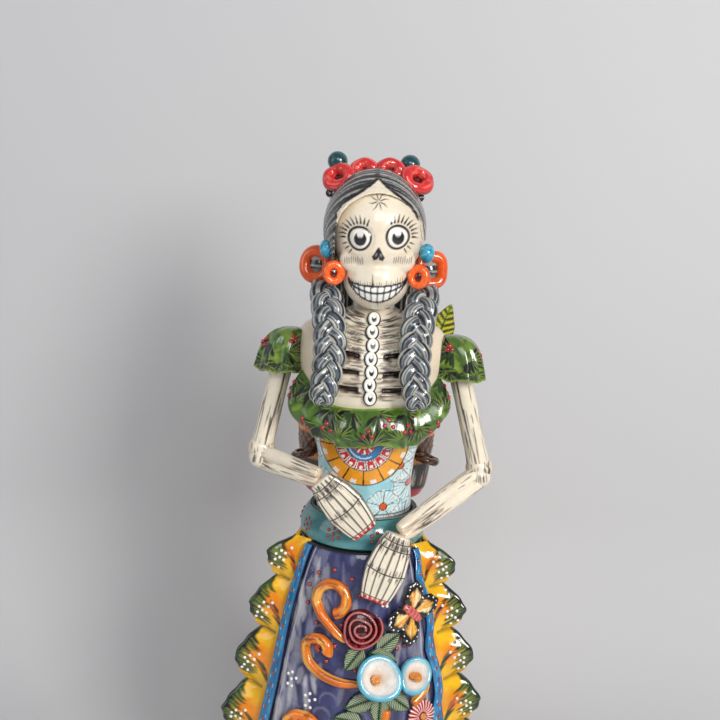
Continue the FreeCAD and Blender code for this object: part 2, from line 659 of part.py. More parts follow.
def make_braids(ties, hair, level):
    """Plaits that hang from behind the ears over the chest, as alternating turns of their strands."""
    route = [(-41, 6, level - 40), (-40, -24, level - 56), (-37, -42, level - 73), (-35, -49, level - 90),
             (-35.5, -54, level - 109), (-38, -57.5, level - 128), (-40, -60, level - 140)]
    turns = []
    for number, (start, end) in enumerate(zip(route, route[1:])):
        for half in (0, 1):
            share = 0.25 + 0.5 * half
            swing = -4.2 if half else 4.2
            at = Vector(*start) + (Vector(*end) - Vector(*start)) * share + Vector(swing, 0, 0)
            aim = (Vector(*end) - Vector(*start)).normalize() + Vector(-0.45 if half else 0.45, 0, 0)
            taper = 1.0 - 0.05 * number
            turns.append(ball(f"plait_turn{number}_{half}", f"braid_lobe_width * {taper}",
                              f"braid_lobe_width * {taper * 0.85}", f"braid_lobe_length * {taper}",
                              tuple(at), tuple(aim)))
    left = fuse(turns, "plait_left")
    right = doc.addObject("Part::Mirroring", "plait_right")
    right.Source = left
    right.Normal, right.Base = Vector(1, 0, 0), Vector(0, 0, 0)
    for side, braid, tie in (("left", left, ties[0]), ("right", right, ties[1])):
        keep(braid, f"braid_{side}")
        press_on(tie, [hair, braid], f"hair_tie_{side}")


def make_hair_fall(level, cutters):
    """Loose hair that falls behind the neck onto the back."""
    fall = loft("hair_fall_solid", [
        (f"{level - 133}", "44", "4", 53.5), (f"{level - 100}", "49", "5", 49.0),
        (f"{level - 66}", "50", "6", 39.0), (f"{level - 36}", "45", "7", 32.0),
    ])
    keep(cut_all(fall, cutters, "hair_fall"), "hair_fall")


# ---------------------------------------------------------------- blouse
def make_blouse(ribs, shoulder):
    """The ruffle round the chest, with the swags that rise to the shoulders, and the ruffle at the back."""
    hem = size("skirt_height") + size("bodice_height") - 13
    rows = [(0, 61, 60), (15, 64, 57.5), (31, 60.5, 50)]
    outer = loft("ruffle_outline", [(f"{hem + up}", f"{wide}", f"{deep}") for up, wide, deep in rows])
    inner = loft("ruffle_hollow", [(f"{hem + up}", f"{wide} - ruffle_thickness", f"{deep} - ruffle_thickness")
                                   for up, wide, deep in rows])
    ring = cut(outer, inner, "ruffle_ring")
    front = box("ruffle_front_half", (-120, -120, hem - 10), (120, 4, hem + 60))
    back = box("ruffle_back_half", (-120, 4, hem + 12), (120, 47, hem + 60))
    frill = [common(ring, front, "ruffle_front_piece")]
    for side, sign in (("left", -1), ("right", 1)):
        swag = ball(f"swag_{side}", "15", "7.5", "25", (sign * 62, -30, shoulder - 32),
                    (sign * 0.28, -0.1, 1))
        frill.append(swag)
    press_on(fuse(frill, "ruffle_front"), [ribs], "blouse_front")
    press_on(common(ring, back, "ruffle_back_piece"), [ribs], "blouse_back")
    return ring


def make_sleeves(ribs, arms, shoulder):
    """Puffed ruffles over the shoulders, hollow below, that the arms come out of."""
    for side, sign in (("left", -1), ("right", 1)):
        centre = (sign * 77.7, -5.2, shoulder + 1.3)
        puff = ball(f"puff_{side}", "sleeve_half_width", "sleeve_half_depth", "sleeve_half_height", centre)
        inside = ball(f"puff_inside_{side}", "sleeve_half_width - ruffle_thickness",
                      "sleeve_half_depth - ruffle_thickness", "sleeve_half_height - ruffle_thickness", centre)
        mouth = box(f"puff_mouth_{side}", (centre[0] - 40, -60, centre[2] - 40),
                    (centre[0] + 40, 60, centre[2] - 12))
        keep(cut_all(puff, [inside, mouth, ribs] + arms[side], f"sleeve_{side}"), f"sleeve_{side}")


# ---------------------------------------------------------------- arms
ARMS = {
    "left": {"elbow": (-93, -3, 374), "wrist": (-38, -51, 365), "tips": (3, -59, 322)},
    "right": {"elbow": (101, -3, 366), "wrist": (31, -62, 323), "tips": (12, -77, 268)},
}


def make_arms(shoulder):
    uppers = {}
    for side, sign in (("left", -1), ("right", 1)):
        places = ARMS[side]
        top = (sign * 76, 0, shoulder - 2)
        elbow, wrist = places["elbow"], places["wrist"]
        bones = [
            rod(f"tenon_{side}", (sign * 50, 0, shoulder), (top[0], 0, shoulder), "tenon_radius"),
            ball(f"arm_head_{side}", "arm_radius + 1", "arm_radius + 1", "arm_radius + 1", top),
            rod(f"arm_shaft_{side}", top, elbow, "arm_radius", "arm_radius * 0.95"),
            ball(f"arm_knob_{side}", "elbow_radius", "elbow_radius", "elbow_radius", elbow),
        ]
        upper = keep(fuse(bones, f"arm_bone_{side}"), f"upper_arm_{side}")
        uppers[side] = [
            rod(f"tenon_room_{side}", (sign * 50, 0, shoulder), (top[0], 0, shoulder),
                "tenon_radius + slip_layer"),
            ball(f"arm_head_room_{side}", *["arm_radius + 1 + slip_layer"] * 3, top),
            rod(f"arm_shaft_room_{side}", top, elbow, "arm_radius + slip_layer",
                "arm_radius * 0.95 + slip_layer"),
        ]

        reach = Vector(*wrist) - Vector(*elbow)
        across = reach.cross(Vector(0, 1, 0)).normalize()
        start, end = Vector(*elbow) + Vector(0, -3, -7), Vector(*wrist)
        bones = [ball(f"elbow_knob_{side}", "elbow_radius", "elbow_radius", "elbow_radius", tuple(start))]
        for number, part in enumerate((-1, 1)):
            bones.append(rod(f"forearm_bone_{side}_{number}", tuple(start + across * part * 4.5),
                             tuple(end + across * part * 3.0), "forearm_bone", "forearm_bone * 0.85"))
        bare = cut(fuse(bones, f"forearm_bones_{side}"), upper, f"forearm_cut_{side}")
        forearm = keep(bare, f"forearm_{side}")

        tips = places["tips"]
        along = Vector(*tips) - Vector(*wrist)
        length = along.Length
        palm = loft(f"hand_solid_{side}", [
            ("0", "hand_half_width * 0.5", "hand_half_thickness * 1.25"),
            (f"{length * 0.3}", "hand_half_width * 0.88", "hand_half_thickness * 1.2"),
            (f"{length * 0.56}", "hand_half_width", "hand_half_thickness"),
            (f"{length}", "hand_half_width * 0.66", "hand_half_thickness * 0.7"),
        ])
        flat = Vector(0, -1, 0) - along.normalize() * Vector(0, -1, 0).dot(along.normalize())
        lie = Rotation(Vector(0, 0, 0), flat.normalize(), along.normalize(), "ZYX")
        hand = cut(palm, forearm, f"hand_cut_{side}")
        palm.Placement = Placement(Vector(*wrist), lie)
        keep(hand, f"hand_{side}")
    return uppers


# ---------------------------------------------------------------- back basket
def make_basket(waist, ribs, ring):
    """An oval basket carried on the back, filled with leaves and calla lilies."""
    y = size("basket_centre")
    rows = [(0, 0.52, 0.34), (0.05, 0.8, 0.56), (0.16, 0.92, 0.68), (0.32, 0.97, 0.78), (0.65, 1.0, 1.0),
            (1.0, 0.97, 1.0)]
    outer = loft("basket_outline", [(f"basket_bottom + basket_height * {up}", f"basket_half_width * {wide}",
                                     f"basket_half_depth * {deep}", y) for up, wide, deep in rows])
    inner = loft("basket_hollow", [(f"basket_bottom + basket_wall + basket_height * {up}",
                                    f"basket_half_width * {wide} - basket_wall",
                                    f"basket_half_depth * {deep} - basket_wall", y) for up, wide, deep in rows[1:]])
    keep(cut_all(outer, [inner, waist, ribs, ring], "basket"), "basket")
    rim = size("basket_bottom") + size("basket_height")
    for side, sign in (("left", -1), ("right", 1)):
        lug = made("Part::Torus", f"basket_lug_{side}", Radius1="9", Radius2="3.6")
        place(lug, (sign * 58, y - 25, rim - 73), (0.25 * sign, 0.1, 1))
        press_on(lug, [outer], f"basket_handle_{side}")

    bed = ball("bouquet_bed_ball", "basket_half_width * 0.97 - basket_wall",
               "basket_half_depth - basket_wall", "22",
               (0, y, rim - 6))
    low = box("bouquet_bed_low", (-100, 0, rim - 60), (100, 200, rim - 8))
    sprays = [cut_all(bed, [low, ribs, waist], "bouquet_bed")]
    blades = [(50, -6, 34, 20), (34, 14, 26, 8), (6, 20, 30, -4), (-22, 16, 26, -10), (-44, -2, 20, -24)]
    for number, (x, back, reach, lean) in enumerate(blades):
        blade = leaf(f"basket_blade_{number}", f"{36 + reach}", "17")
        tilt = math.radians(lean)
        aim = (math.sin(tilt), 0.12, math.cos(tilt))
        turn = Rotation(Vector(*aim), Vector(0, 0, 0), Vector(0, -1, 0), "XZY")
        middle = Vector(x, y + back, rim + 6) + Vector(*aim) * (reach * 0.5 + 6)
        blade.Placement = Placement(middle, turn)
        sprays.append(blade)
    spray = keep(fuse(sprays, "bouquet_leaves"), "basket_leaves")
    lilies = []
    for number, (x, back) in enumerate([(-28, -4), (-2, 2), (22, -6)]):
        lily = make_lily(f"basket_lily_{number}", (x, y + back, rim + 8), (x * 0.012, -0.25, 1), 0.8)
        lilies.append(cut(lily, spray, f"basket_lily_{number}_set"))
    group(lilies, "basket_lilies")


# ---------------------------------------------------------------- build, check and write
on_top, over, ribbon = make_skirt()
collar = make_waistband()
make_flounces(over, collar)
rose = make_rose("rose", 2, 240, [on_top])
daisy = make_daisy("daisy_right", 36, 161, [on_top, ribbon])
make_daisy("daisy_low", -4, 92, [on_top])
stems = make_scrolls(on_top, rose, [on_top, ribbon, daisy])
make_leaves({"rose_leaves": [on_top, rose], "lily_leaves": [on_top, stems]})
make_butterfly([on_top, ribbon])
make_lilies(on_top)
waist, ribs, neck_foot, shoulder, neck = make_trunk()
make_spine(ribs, neck)
head, cap, hair, level = make_head(neck_foot)
make_headdress(head, hair, level)
ties = make_ears(head, hair, level)
make_braids(ties, hair, level)
ring = make_blouse(ribs, shoulder)
make_hair_fall(level, [ribs, cap, ring])
arms = make_arms(shoulder)
make_sleeves(ribs, arms, shoulder)
make_basket(waist, ribs, ring)
doc.recompute()

faults = [o.Label for o in doc.Objects if {"Invalid", "Error"} & set(o.State)]
for part in parts:
    if part.Shape.isNull() or not part.Shape.isValid() or not part.Shape.Solids:
        faults.append(part.Label)
if faults:
    raise SystemExit(f"these did not build: {sorted(set(faults))}")

os.makedirs("parts", exist_ok=True)
for old in os.listdir("parts"):
    if old.endswith(".step"):
        os.remove(os.path.join("parts", old))
for part in parts:
    part.Shape.exportStep(f"parts/{part.Label}.step")
print(f"{len(parts)} sub-parts written")
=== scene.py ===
"""Skeleton-lady figure in painted and glazed clay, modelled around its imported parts."""

import math
import random

import bpy
import numpy as np
from mathutils import Matrix, Vector


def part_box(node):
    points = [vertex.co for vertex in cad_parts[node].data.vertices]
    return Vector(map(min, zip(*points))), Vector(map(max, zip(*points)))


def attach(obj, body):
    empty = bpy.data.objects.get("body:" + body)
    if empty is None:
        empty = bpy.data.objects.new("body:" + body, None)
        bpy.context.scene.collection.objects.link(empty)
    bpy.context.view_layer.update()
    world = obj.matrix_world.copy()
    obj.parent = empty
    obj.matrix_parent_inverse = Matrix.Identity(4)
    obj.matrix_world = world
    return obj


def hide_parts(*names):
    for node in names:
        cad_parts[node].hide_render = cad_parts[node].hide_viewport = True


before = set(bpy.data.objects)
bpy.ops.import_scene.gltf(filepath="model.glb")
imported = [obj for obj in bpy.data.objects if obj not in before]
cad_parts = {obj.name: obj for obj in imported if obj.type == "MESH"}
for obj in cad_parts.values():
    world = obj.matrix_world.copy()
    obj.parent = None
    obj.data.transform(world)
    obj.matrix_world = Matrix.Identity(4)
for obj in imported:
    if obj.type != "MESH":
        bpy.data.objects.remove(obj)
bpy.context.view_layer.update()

# ---------------------------------------------------------------- studio
# A pale sweep of paper: floor in front, a curved rise behind, so no edge shows. A soft window light
# stands high on the right and a weak fill on the left.
MM = 0.001


def alone(thing):
    """Selects one object and nothing else."""
    bpy.ops.object.select_all(action="DESELECT")
    thing.select_set(True)
    bpy.context.view_layer.objects.active = thing


def settle(thing):
    """Applies every modifier, and the object's own place, to the mesh."""
    alone(thing)
    for modifier in list(thing.modifiers):
        bpy.ops.object.modifier_apply(modifier=modifier.name)
    bpy.ops.object.transform_apply(location=True, rotation=True, scale=True)
    return thing


between = random.uniform


def unit(way):
    """A direction, one long."""
    return np.asarray(way, float) / np.linalg.norm(way)


def rgb(red, green, blue):
    """A colour given as 0 to 255, as the shader's linear light."""
    shares = np.array([red, green, blue]) / 255.0
    return np.where(shares <= 0.04045, shares / 12.92, ((shares + 0.055) / 1.055) ** 2.4)


bpy.ops.object.select_all(action="DESELECT")
bpy.ops.mesh.primitive_grid_add(x_subdivisions=2, y_subdivisions=2, size=1.0)
sweep = bpy.context.object
sweep.name = "paper_sweep"
sweep.scale = (7.0, 3.0, 1.0)
sweep.location = (0.0, -1.355, 0.0)
settle(sweep)
bpy.ops.object.mode_set(mode="EDIT")
bpy.ops.mesh.select_all(action="DESELECT")
bpy.ops.object.mode_set(mode="OBJECT")
back_line = max(v.co.y for v in sweep.data.vertices)
for edge in sweep.data.edges:
    edge.select = all(sweep.data.vertices[v].co.y > back_line - 1e-6 for v in edge.vertices)
bpy.ops.object.mode_set(mode="EDIT")
rise, turns = 0.2, 10
for turn in range(turns):
    start, end = (math.pi / 2 * (turn + k) / turns for k in (0, 1))
    bpy.ops.mesh.extrude_region_move(TRANSFORM_OT_translate={"value": (
        0.0, rise * (math.sin(end) - math.sin(start)), rise * (math.cos(start) - math.cos(end)))})
bpy.ops.mesh.extrude_region_move(TRANSFORM_OT_translate={"value": (0.0, 0.0, 3.0)})
bpy.ops.object.mode_set(mode="OBJECT")
bpy.ops.object.shade_smooth()
paper = bpy.data.materials.new("paper")
paper.use_nodes = True
paper.node_tree.nodes["Principled BSDF"].inputs["Base Color"].default_value = (0.62, 0.62, 0.63, 1)
paper.node_tree.nodes["Principled BSDF"].inputs["Roughness"].default_value = 0.9
# Seen from behind, the paper lets the view through.
nodes, links = paper.node_tree.nodes, paper.node_tree.links
facing, ray = nodes.new("ShaderNodeNewGeometry"), nodes.new("ShaderNodeLightPath")
behind = nodes.new("ShaderNodeMath")
behind.operation = "MULTIPLY"
links.new(facing.outputs["Backfacing"], behind.inputs[0])
links.new(ray.outputs["Is Camera Ray"], behind.inputs[1])
clear, either = nodes.new("ShaderNodeBsdfTransparent"), nodes.new("ShaderNodeMixShader")
links.new(behind.outputs[0], either.inputs["Fac"])
links.new(nodes["Principled BSDF"].outputs["BSDF"], either.inputs[1])
links.new(clear.outputs["BSDF"], either.inputs[2])
links.new(either.outputs["Shader"], nodes["Material Output"].inputs["Surface"])
sweep.data.materials.append(paper)


def window(name, at, target, across, up, watts, tint):
    """A soft rectangular light that faces the figure."""
    panel = bpy.data.lights.new(name, "AREA")
    panel.shape, panel.size, panel.size_y = "RECTANGLE", across, up
    panel.energy, panel.color = watts, tint
    holder = bpy.data.objects.new(name, panel)
    bpy.context.collection.objects.link(holder)
    aim = Vector(target) - Vector(at)
    holder.matrix_world = Matrix.Translation(at) @ aim.to_track_quat("-Z", "Y").to_matrix().to_4x4()


window("window_right", (0.92, -1.35, 1.12), (0, 0, 0.40), 0.55, 0.62, 22.0, (1.0, 0.98, 0.95))
window("window_front", (0.1, -1.9, 1.6), (0, 0, 0.42), 0.9, 0.7, 9.0, (0.96, 0.98, 1.0))
window("sky_left", (-1.6, -0.9, 1.0), (0, 0, 0.4), 1.0, 1.2, 5.0, (0.95, 0.97, 1.0))
room = bpy.data.worlds.new("room")
room.use_nodes = True
room.node_tree.nodes["Background"].inputs["Color"].default_value = (0.80, 0.82, 0.85, 1)
room.node_tree.nodes["Background"].inputs["Strength"].default_value = 0.36
bpy.context.scene.world = room
bpy.context.scene.view_settings.view_transform = "Standard"

eye = bpy.data.cameras.new("eye")
eye.lens, eye.sensor_width = 52.25, 36.0
eye_holder = bpy.data.objects.new("eye", eye)
bpy.context.collection.objects.link(eye_holder)
pitch, roll = math.radians(90 - 12.8), math.radians(2.9)
eye_holder.matrix_world = (Matrix.Translation((-0.0096, -0.890, 0.660)) @ Matrix.Rotation(pitch, 4, "X")
                           @ Matrix.Rotation(roll, 4, "Z"))
bpy.context.scene.camera = eye_holder

# ---------------------------------------------------------------- skirt
# A hollow oval bell, thrown thin and pulled out towards the hem, open underneath. The back is painted
# in rows of yellow scales with dark green strokes; the inside stays bare clay.
shell_high = Vector(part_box("skirt_shell")[1]) / MM
deck_height = shell_high.z
HEM_WIDTH, HEM_DEPTH = shell_high.x, shell_high.y
DECK_WIDTH, DECK_DEPTH = 55.0, 50.0
FLARE = 0.75
WALL = 7.0


def places(piece):
    """The mesh's points in millimetres, as rows of x, y, z."""
    flat = np.empty(len(piece.data.vertices) * 3, np.float32)
    piece.data.vertices.foreach_get("co", flat)
    return flat.reshape(-1, 3).astype(float) / MM


def move_to(piece, spots):
    """Moves the mesh's points to spots in millimetres."""
    piece.data.vertices.foreach_set("co", (np.asarray(spots) * MM).astype(np.float32).ravel())
    piece.data.update()


def outward(piece):
    """The direction that each point of the mesh faces."""
    flat = np.empty(len(piece.data.vertices) * 3, np.float32)
    piece.data.vertices.foreach_get("normal", flat)
    return flat.reshape(-1, 3).astype(float)


def clay_sheet(name, columns, rows, shape):
    """A rolled sheet of clay: shape(across, up) says where each point goes, both from 0 to 1.
    Left to right as seen from outside, so that it faces outwards."""
    bpy.ops.object.select_all(action="DESELECT")
    bpy.ops.mesh.primitive_grid_add(x_subdivisions=columns, y_subdivisions=rows, size=1.0)
    sheet = bpy.context.object
    sheet.name = name
    flat = places(sheet) * MM
    across, up = flat[:, 0] + 0.5, flat[:, 1] + 0.5
    move_to(sheet, np.stack(np.broadcast_arrays(*shape(across, up)), 1))
    return sheet, across, up


def coat(piece, paint):
    """Lays the painted colours on the mesh, one to a point."""
    layer = piece.data.color_attributes.get("paint")
    if layer is None:
        layer = piece.data.color_attributes.new("paint", "FLOAT_COLOR", "POINT")
    four = np.ones((len(paint), 4), np.float32)
    four[:, :3] = np.clip(paint, 0, 1)
    layer.data.foreach_set("color", four.ravel())


def ground(count, colour):
    """An even first coat for so many points."""
    return np.tile(np.asarray(colour, float), (count, 1))


def brush(paint, spots, path, width, colour, land=0.25, lift=0.35, feather=0.8, load=1.0):
    """One stroke of a round brush that lands and lifts. spots and path are millimetres on the surface
    rolled flat; width is the stroke's widest."""
    path = np.asarray(path, float)
    low, high = path.min(0) - width, path.max(0) + width
    near = np.flatnonzero(((spots > low) & (spots < high)).all(1))
    if not len(near):
        return
    here, cover, run = spots[near], np.zeros(len(near)), 0.0
    lengths = np.linalg.norm(np.diff(path, axis=0), axis=1) + 1e-6
    for start, end, length in zip(path, path[1:], lengths):
        step = end - start
        share = np.clip((here - start) @ step / length ** 2, 0, 1)
        gap = np.linalg.norm(here - start - share[:, None] * step, axis=1)
        along = (run + share * length) / lengths.sum()
        half = width / 2 * np.minimum(1, np.minimum((along + 0.02) / land, (1.02 - along) / lift)) ** 0.6
        cover = np.maximum(cover, np.clip((half - gap) / feather + 0.5, 0, 1))
        run += length
    paint[near] += (colour - paint[near]) * (cover * load)[:, None]


def dot(paint, spots, middle, radius, colour, feather=0.8):
    """A dab of the brush's tip."""
    gap = np.linalg.norm(spots - np.asarray(middle, float), axis=1)
    cover = np.clip((radius - gap) / feather + 0.5, 0, 1)
    paint += (colour - paint) * cover[:, None]


def wash(paint, share, colour):
    """Blends a colour in by a share at each point."""
    paint += (np.asarray(colour) - paint) * np.clip(share, 0, 1)[:, None]


def painted_glaze(name, mottle=0.16, cloud=14.0, crackle=0.0, roughness=0.17, ripple=0.3):
    """Paint under a thick clear glaze: the colours pool and thin in clouds, the surface ripples, and where
    crackle is set, a web of hairline cracks has taken up dirt."""
    glaze = bpy.data.materials.new(name)
    glaze.use_nodes = True
    nodes, links = glaze.node_tree.nodes, glaze.node_tree.links
    body = nodes["Principled BSDF"]
    body.inputs["Roughness"].default_value = roughness
    body.inputs["Coat Weight"].default_value = 0.7
    body.inputs["Coat Roughness"].default_value = roughness * 0.4
    where = nodes.new("ShaderNodeTexCoord")
    paint = nodes.new("ShaderNodeAttribute")
    paint.attribute_name = "paint"
    shade = None
    layers = [(1000.0 / cloud, mottle), (1000.0 / (cloud * 0.16), mottle * 0.45)]
    for scale, swing in layers:
        pool = nodes.new("ShaderNodeTexNoise")
        pool.inputs["Scale"].default_value = scale
        pool.inputs["Detail"].default_value = 4.0
        links.new(where.outputs["Object"], pool.inputs["Vector"])
        spread = nodes.new("ShaderNodeMapRange")
        spread.inputs["From Min"].default_value, spread.inputs["From Max"].default_value = 0.3, 0.7
        spread.inputs["To Min"].default_value = 1 - swing
        spread.inputs["To Max"].default_value = 1 + swing * 0.7
        links.new(pool.outputs["Fac"], spread.inputs["Value"])
        shade = multiply(nodes, links, shade, spread.outputs["Result"])
    if crackle:
        cracks = nodes.new("ShaderNodeTexVoronoi")
        cracks.feature = "DISTANCE_TO_EDGE"
        cracks.inputs["Scale"].default_value = 1000.0 / 5.5
        links.new(where.outputs["Object"], cracks.inputs["Vector"])
        line = nodes.new("ShaderNodeMapRange")
        line.inputs["From Max"].default_value = 0.035
        line.inputs["To Min"].default_value, line.inputs["To Max"].default_value = 1 - crackle, 1.0
        links.new(cracks.outputs["Distance"], line.inputs["Value"])
        shade = multiply(nodes, links, shade, line.outputs["Result"])
    tinted = nodes.new("ShaderNodeVectorMath")
    tinted.operation = "SCALE"
    links.new(paint.outputs["Color"], tinted.inputs[0])
    links.new(shade, tinted.inputs["Scale"])
    links.new(tinted.outputs["Vector"], body.inputs["Base Color"])
    swell = nodes.new("ShaderNodeTexNoise")
    swell.inputs["Scale"].default_value, swell.inputs["Detail"].default_value = 1000.0 / 9.0, 3.0
    links.new(where.outputs["Object"], swell.inputs["Vector"])
    bump = nodes.new("ShaderNodeBump")
    bump.inputs["Strength"].default_value, bump.inputs["Distance"].default_value = ripple, 0.0012
    links.new(swell.outputs["Fac"], bump.inputs["Height"])
    links.new(bump.outputs["Normal"], body.inputs["Normal"])
    links.new(bump.outputs["Normal"], body.inputs["Coat Normal"])
    return glaze


def multiply(nodes, links, one, other):
    """one times other, or other alone while there is no one yet."""
    if one is None:
        return other
    product = nodes.new("ShaderNodeMath")
    product.operation = "MULTIPLY"
    links.new(one, product.inputs[0])
    links.new(other, product.inputs[1])
    return product.outputs[0]


def close_seams(piece):
    """Merges the points of a sheet that meets itself, or that ends in a point."""
    alone(piece)
    bpy.ops.object.mode_set(mode="EDIT")
    bpy.ops.mesh.select_all(action="SELECT")
    bpy.ops.mesh.remove_doubles(threshold=0.00002)
    bpy.ops.mesh.dissolve_degenerate(threshold=0.000005)
    bpy.ops.object.mode_set(mode="OBJECT")


def thicken(piece, wall):
    """Gives a sheet its wall, inwards."""
    close_seams(piece)
    clay = piece.modifiers.new("wall", "SOLIDIFY")
    clay.thickness, clay.offset = wall * MM, -1.0
    clay.use_quality_normals = True
    settle(piece)


def fire(piece, body, glaze, nodes=()):
    """A finished piece: its glaze, the body that it rides on, and the plain parts that it stands for."""
    alone(piece)
    bpy.ops.object.shade_smooth()
    piece.data.materials.clear()
    piece.data.materials.append(glaze)
    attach(piece, body)
    if nodes:
        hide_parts(*nodes)


def flare(height):
    """How far the skirt has widened at a height: 0 at the deck, 1 at the table."""
    return np.maximum(0.0, 1.0 - np.asarray(height, float) / deck_height) ** FLARE


def on_skirt(degrees, height, lift=0.0):
    """Points on the skirt at bearings from the front and at heights, lifted off the clay."""
    angle, wide = np.radians(degrees), DECK_WIDTH + (HEM_WIDTH - DECK_WIDTH) * flare(height) + lift
    deep = DECK_DEPTH + (HEM_DEPTH - DECK_DEPTH) * flare(height) + lift
    return wide * np.sin(angle), -deep * np.cos(angle), np.asarray(height, float) + 0 * angle


def skirt_axes(degrees, height):
    """Across, up and outward directions of the skirt's surface at one point."""
    point = lambda d, h: np.array([float(k) for k in on_skirt(d, h)])
    across = point(degrees + 1, height) - point(degrees - 1, height)
    up = point(degrees, height + 2) - point(degrees, height - 2)
    across = unit(across)
    out = np.cross(across, up)
    out = unit(out)
    return across, np.cross(out, across), out


def spread(degrees, height):
    """Bearings as millimetres along the skirt from its front line."""
    wide = DECK_WIDTH + (HEM_WIDTH - DECK_WIDTH) * flare(height)
    deep = DECK_DEPTH + (HEM_DEPTH - DECK_DEPTH) * flare(height)
    return np.radians(degrees) * (wide + deep) / 2


YELLOW, GOLD = rgb(250, 196, 22), rgb(232, 140, 20)
LEAF_BLACK, DEEP_GREEN = rgb(14, 24, 14), rgb(34, 62, 28)
BARE_CLAY = rgb(176, 120, 84)
shell, turn_share, rise_share = clay_sheet(
    "skirt_shell_clay", 250, 120, lambda a, u: on_skirt(a * 360 - 180, u * deck_height))
bearing, height = turn_share * 360 - 180, rise_share * deck_height
flat = np.stack([spread(bearing, height), height], 1)
paint = ground(len(flat), YELLOW)
random.seed(4)
for row in range(7):
    for column in range(-8, 9):
        middle = (column + 0.5 * (row % 2)) * 36.0
        foot = row * 42.0 + 22.0
        around = 180 + math.degrees(middle / 95.0)
        centre = np.array([middle, foot])
        folded = flat.copy()
        folded[:, 0] = (folded[:, 0] - spread(180.0, height)) * (folded[:, 0] > 0) \
            + (folded[:, 0] + spread(180.0, height)) * (folded[:, 0] <= 0)
        reach = np.linalg.norm((folded - centre) / [1.0, 1.15], axis=1)
        wash(paint, np.clip(1.25 - reach / 20.0, 0, 0.55), GOLD)
        for stroke in range(9):
            lean = math.radians(-80 + stroke * 20 + between(-6, 6))
            tip = centre + [math.sin(lean) * 19, 6 + math.cos(lean) * 22]
            root = centre + [math.sin(lean) * 7, 4 + math.cos(lean) * 8]
            brush(paint, folded, [tip, root], between(3.6, 5.4), LEAF_BLACK if stroke % 2 else DEEP_GREEN,
                  land=0.15, lift=0.8, feather=1.6)
        for dab in range(3):
            spot = centre + [dab * 4.5 - 4.5, -2 - 3.5 * (dab == 1)]
            dot(paint, folded, spot, 1.5, rgb(250, 248, 238), feather=1.6)
wash(paint, np.clip((height - 294.5) / 1.5, 0, 1), rgb(26, 40, 46))
coat(shell, paint)
thicken(shell, WALL)
foot = places(shell)
foot[:, 2] = np.maximum(foot[:, 2], 0.0)
move_to(shell, foot)
inner = np.linalg.norm(places(shell)[:, :2] / [HEM_WIDTH, HEM_DEPTH], axis=1)
outer_now = 1 - (1 - DECK_WIDTH / HEM_WIDTH) * (1 - flare(places(shell)[:, 2]))
paint = np.empty(len(shell.data.vertices) * 4, np.float32)
shell.data.color_attributes["paint"].data.foreach_get("color", paint)
paint = paint.reshape(-1, 4)[:, :3].astype(float)
wash(paint, (outer_now - inner > 0.028).astype(float), BARE_CLAY)
coat(shell, paint)
FLOWER_GLAZE = painted_glaze("flower_glaze", mottle=0.14, cloud=18.0)
fire(shell, "skirt", FLOWER_GLAZE, ["skirt_shell"])

# ---------------------------------------------------------------- hem band
# A roll of clay pressed round the foot of the skirt, glazed nearly black with a row of dabs. The
# skirt stands on it.
def along(points, share, closed=False):
    """Points on a smooth line through the given points, at shares of its run from 0 to 1."""
    points = np.asarray(points, float)
    count = len(points)
    place = np.clip(np.asarray(share, float), 0, 1) * (count if closed else count - 1)
    first = np.minimum(place.astype(int), count - (1 if closed else 2))
    t = (place - first).reshape(np.shape(place) + (1,) * (points.ndim - 1))

    def pick(step):
        return points[(first + step) % count] if closed else points[np.clip(first + step, 0, count - 1)]

    a, b, c, d = pick(-1), pick(0), pick(1), pick(2)
    return b + t * ((c - a) / 2 + t * ((a - 2.5 * b + 2 * c - d / 2) + t * ((b - c) * 1.5 + (d - a) / 2)))


def oval_ring(name, columns, rows, section):
    """A closed oval ring: section lists height, half width, half depth and setback, up the outside
    and down the inside."""
    def shape(a, u):
        height, wide, deep, back = along(section, u, closed=True).T
        turn = a * 2 * np.pi - np.pi
        return wide * np.sin(turn), back - deep * np.cos(turn), np.maximum(height, 0.2)
    return clay_sheet(name, columns, rows, shape)


def dabs(name, spots, normals, radius, colour, body, rim=None, glaze=None):
    """Raised dabs of thick glaze in one mesh. Each is one small dome, with a dark rim where one is set."""
    bpy.ops.object.select_all(action="DESELECT")
    bpy.ops.mesh.primitive_uv_sphere_add(segments=10, ring_count=8, radius=1.0)
    dome = bpy.context.object
    bpy.ops.object.mode_set(mode="EDIT")
    bpy.ops.mesh.select_all(action="SELECT")
    bpy.ops.mesh.bisect(plane_co=(0, 0, -0.35), plane_no=(0, 0, 1), clear_inner=True, use_fill=True)
    bpy.ops.object.mode_set(mode="OBJECT")
    pattern = places(dome) * MM
    faces = [list(face.vertices) for face in dome.data.polygons]
    bpy.data.objects.remove(dome)
    radii = np.broadcast_to(np.asarray(radius, float), len(spots))
    colours = np.broadcast_to(np.asarray(colour, float), (len(spots), 3))
    points, quads, paint = [], [], []
    for spot, normal, size, tone in zip(spots, normals, radii, colours):
        turn = np.array(Vector(normal).to_track_quat("Z", "Y").to_matrix())
        quads += [[corner + len(points) * len(pattern) for corner in face] for face in faces]
        points.append(np.asarray(spot) + (pattern * [size, size, size * 0.6]) @ turn.T)
        tones = ground(len(pattern), tone)
        if rim is not None:
            tones[pattern[:, 2] < 0.4] = rim
        paint.append(tones)
    mesh = bpy.data.meshes.new(name)
    mesh.from_pydata((np.concatenate(points) * MM).tolist(), [], quads)
    piece = bpy.data.objects.new(name, mesh)
    bpy.context.collection.objects.link(piece)
    coat(piece, np.concatenate(paint))
    fire(piece, body, glaze or FLOWER_GLAZE)
    return piece


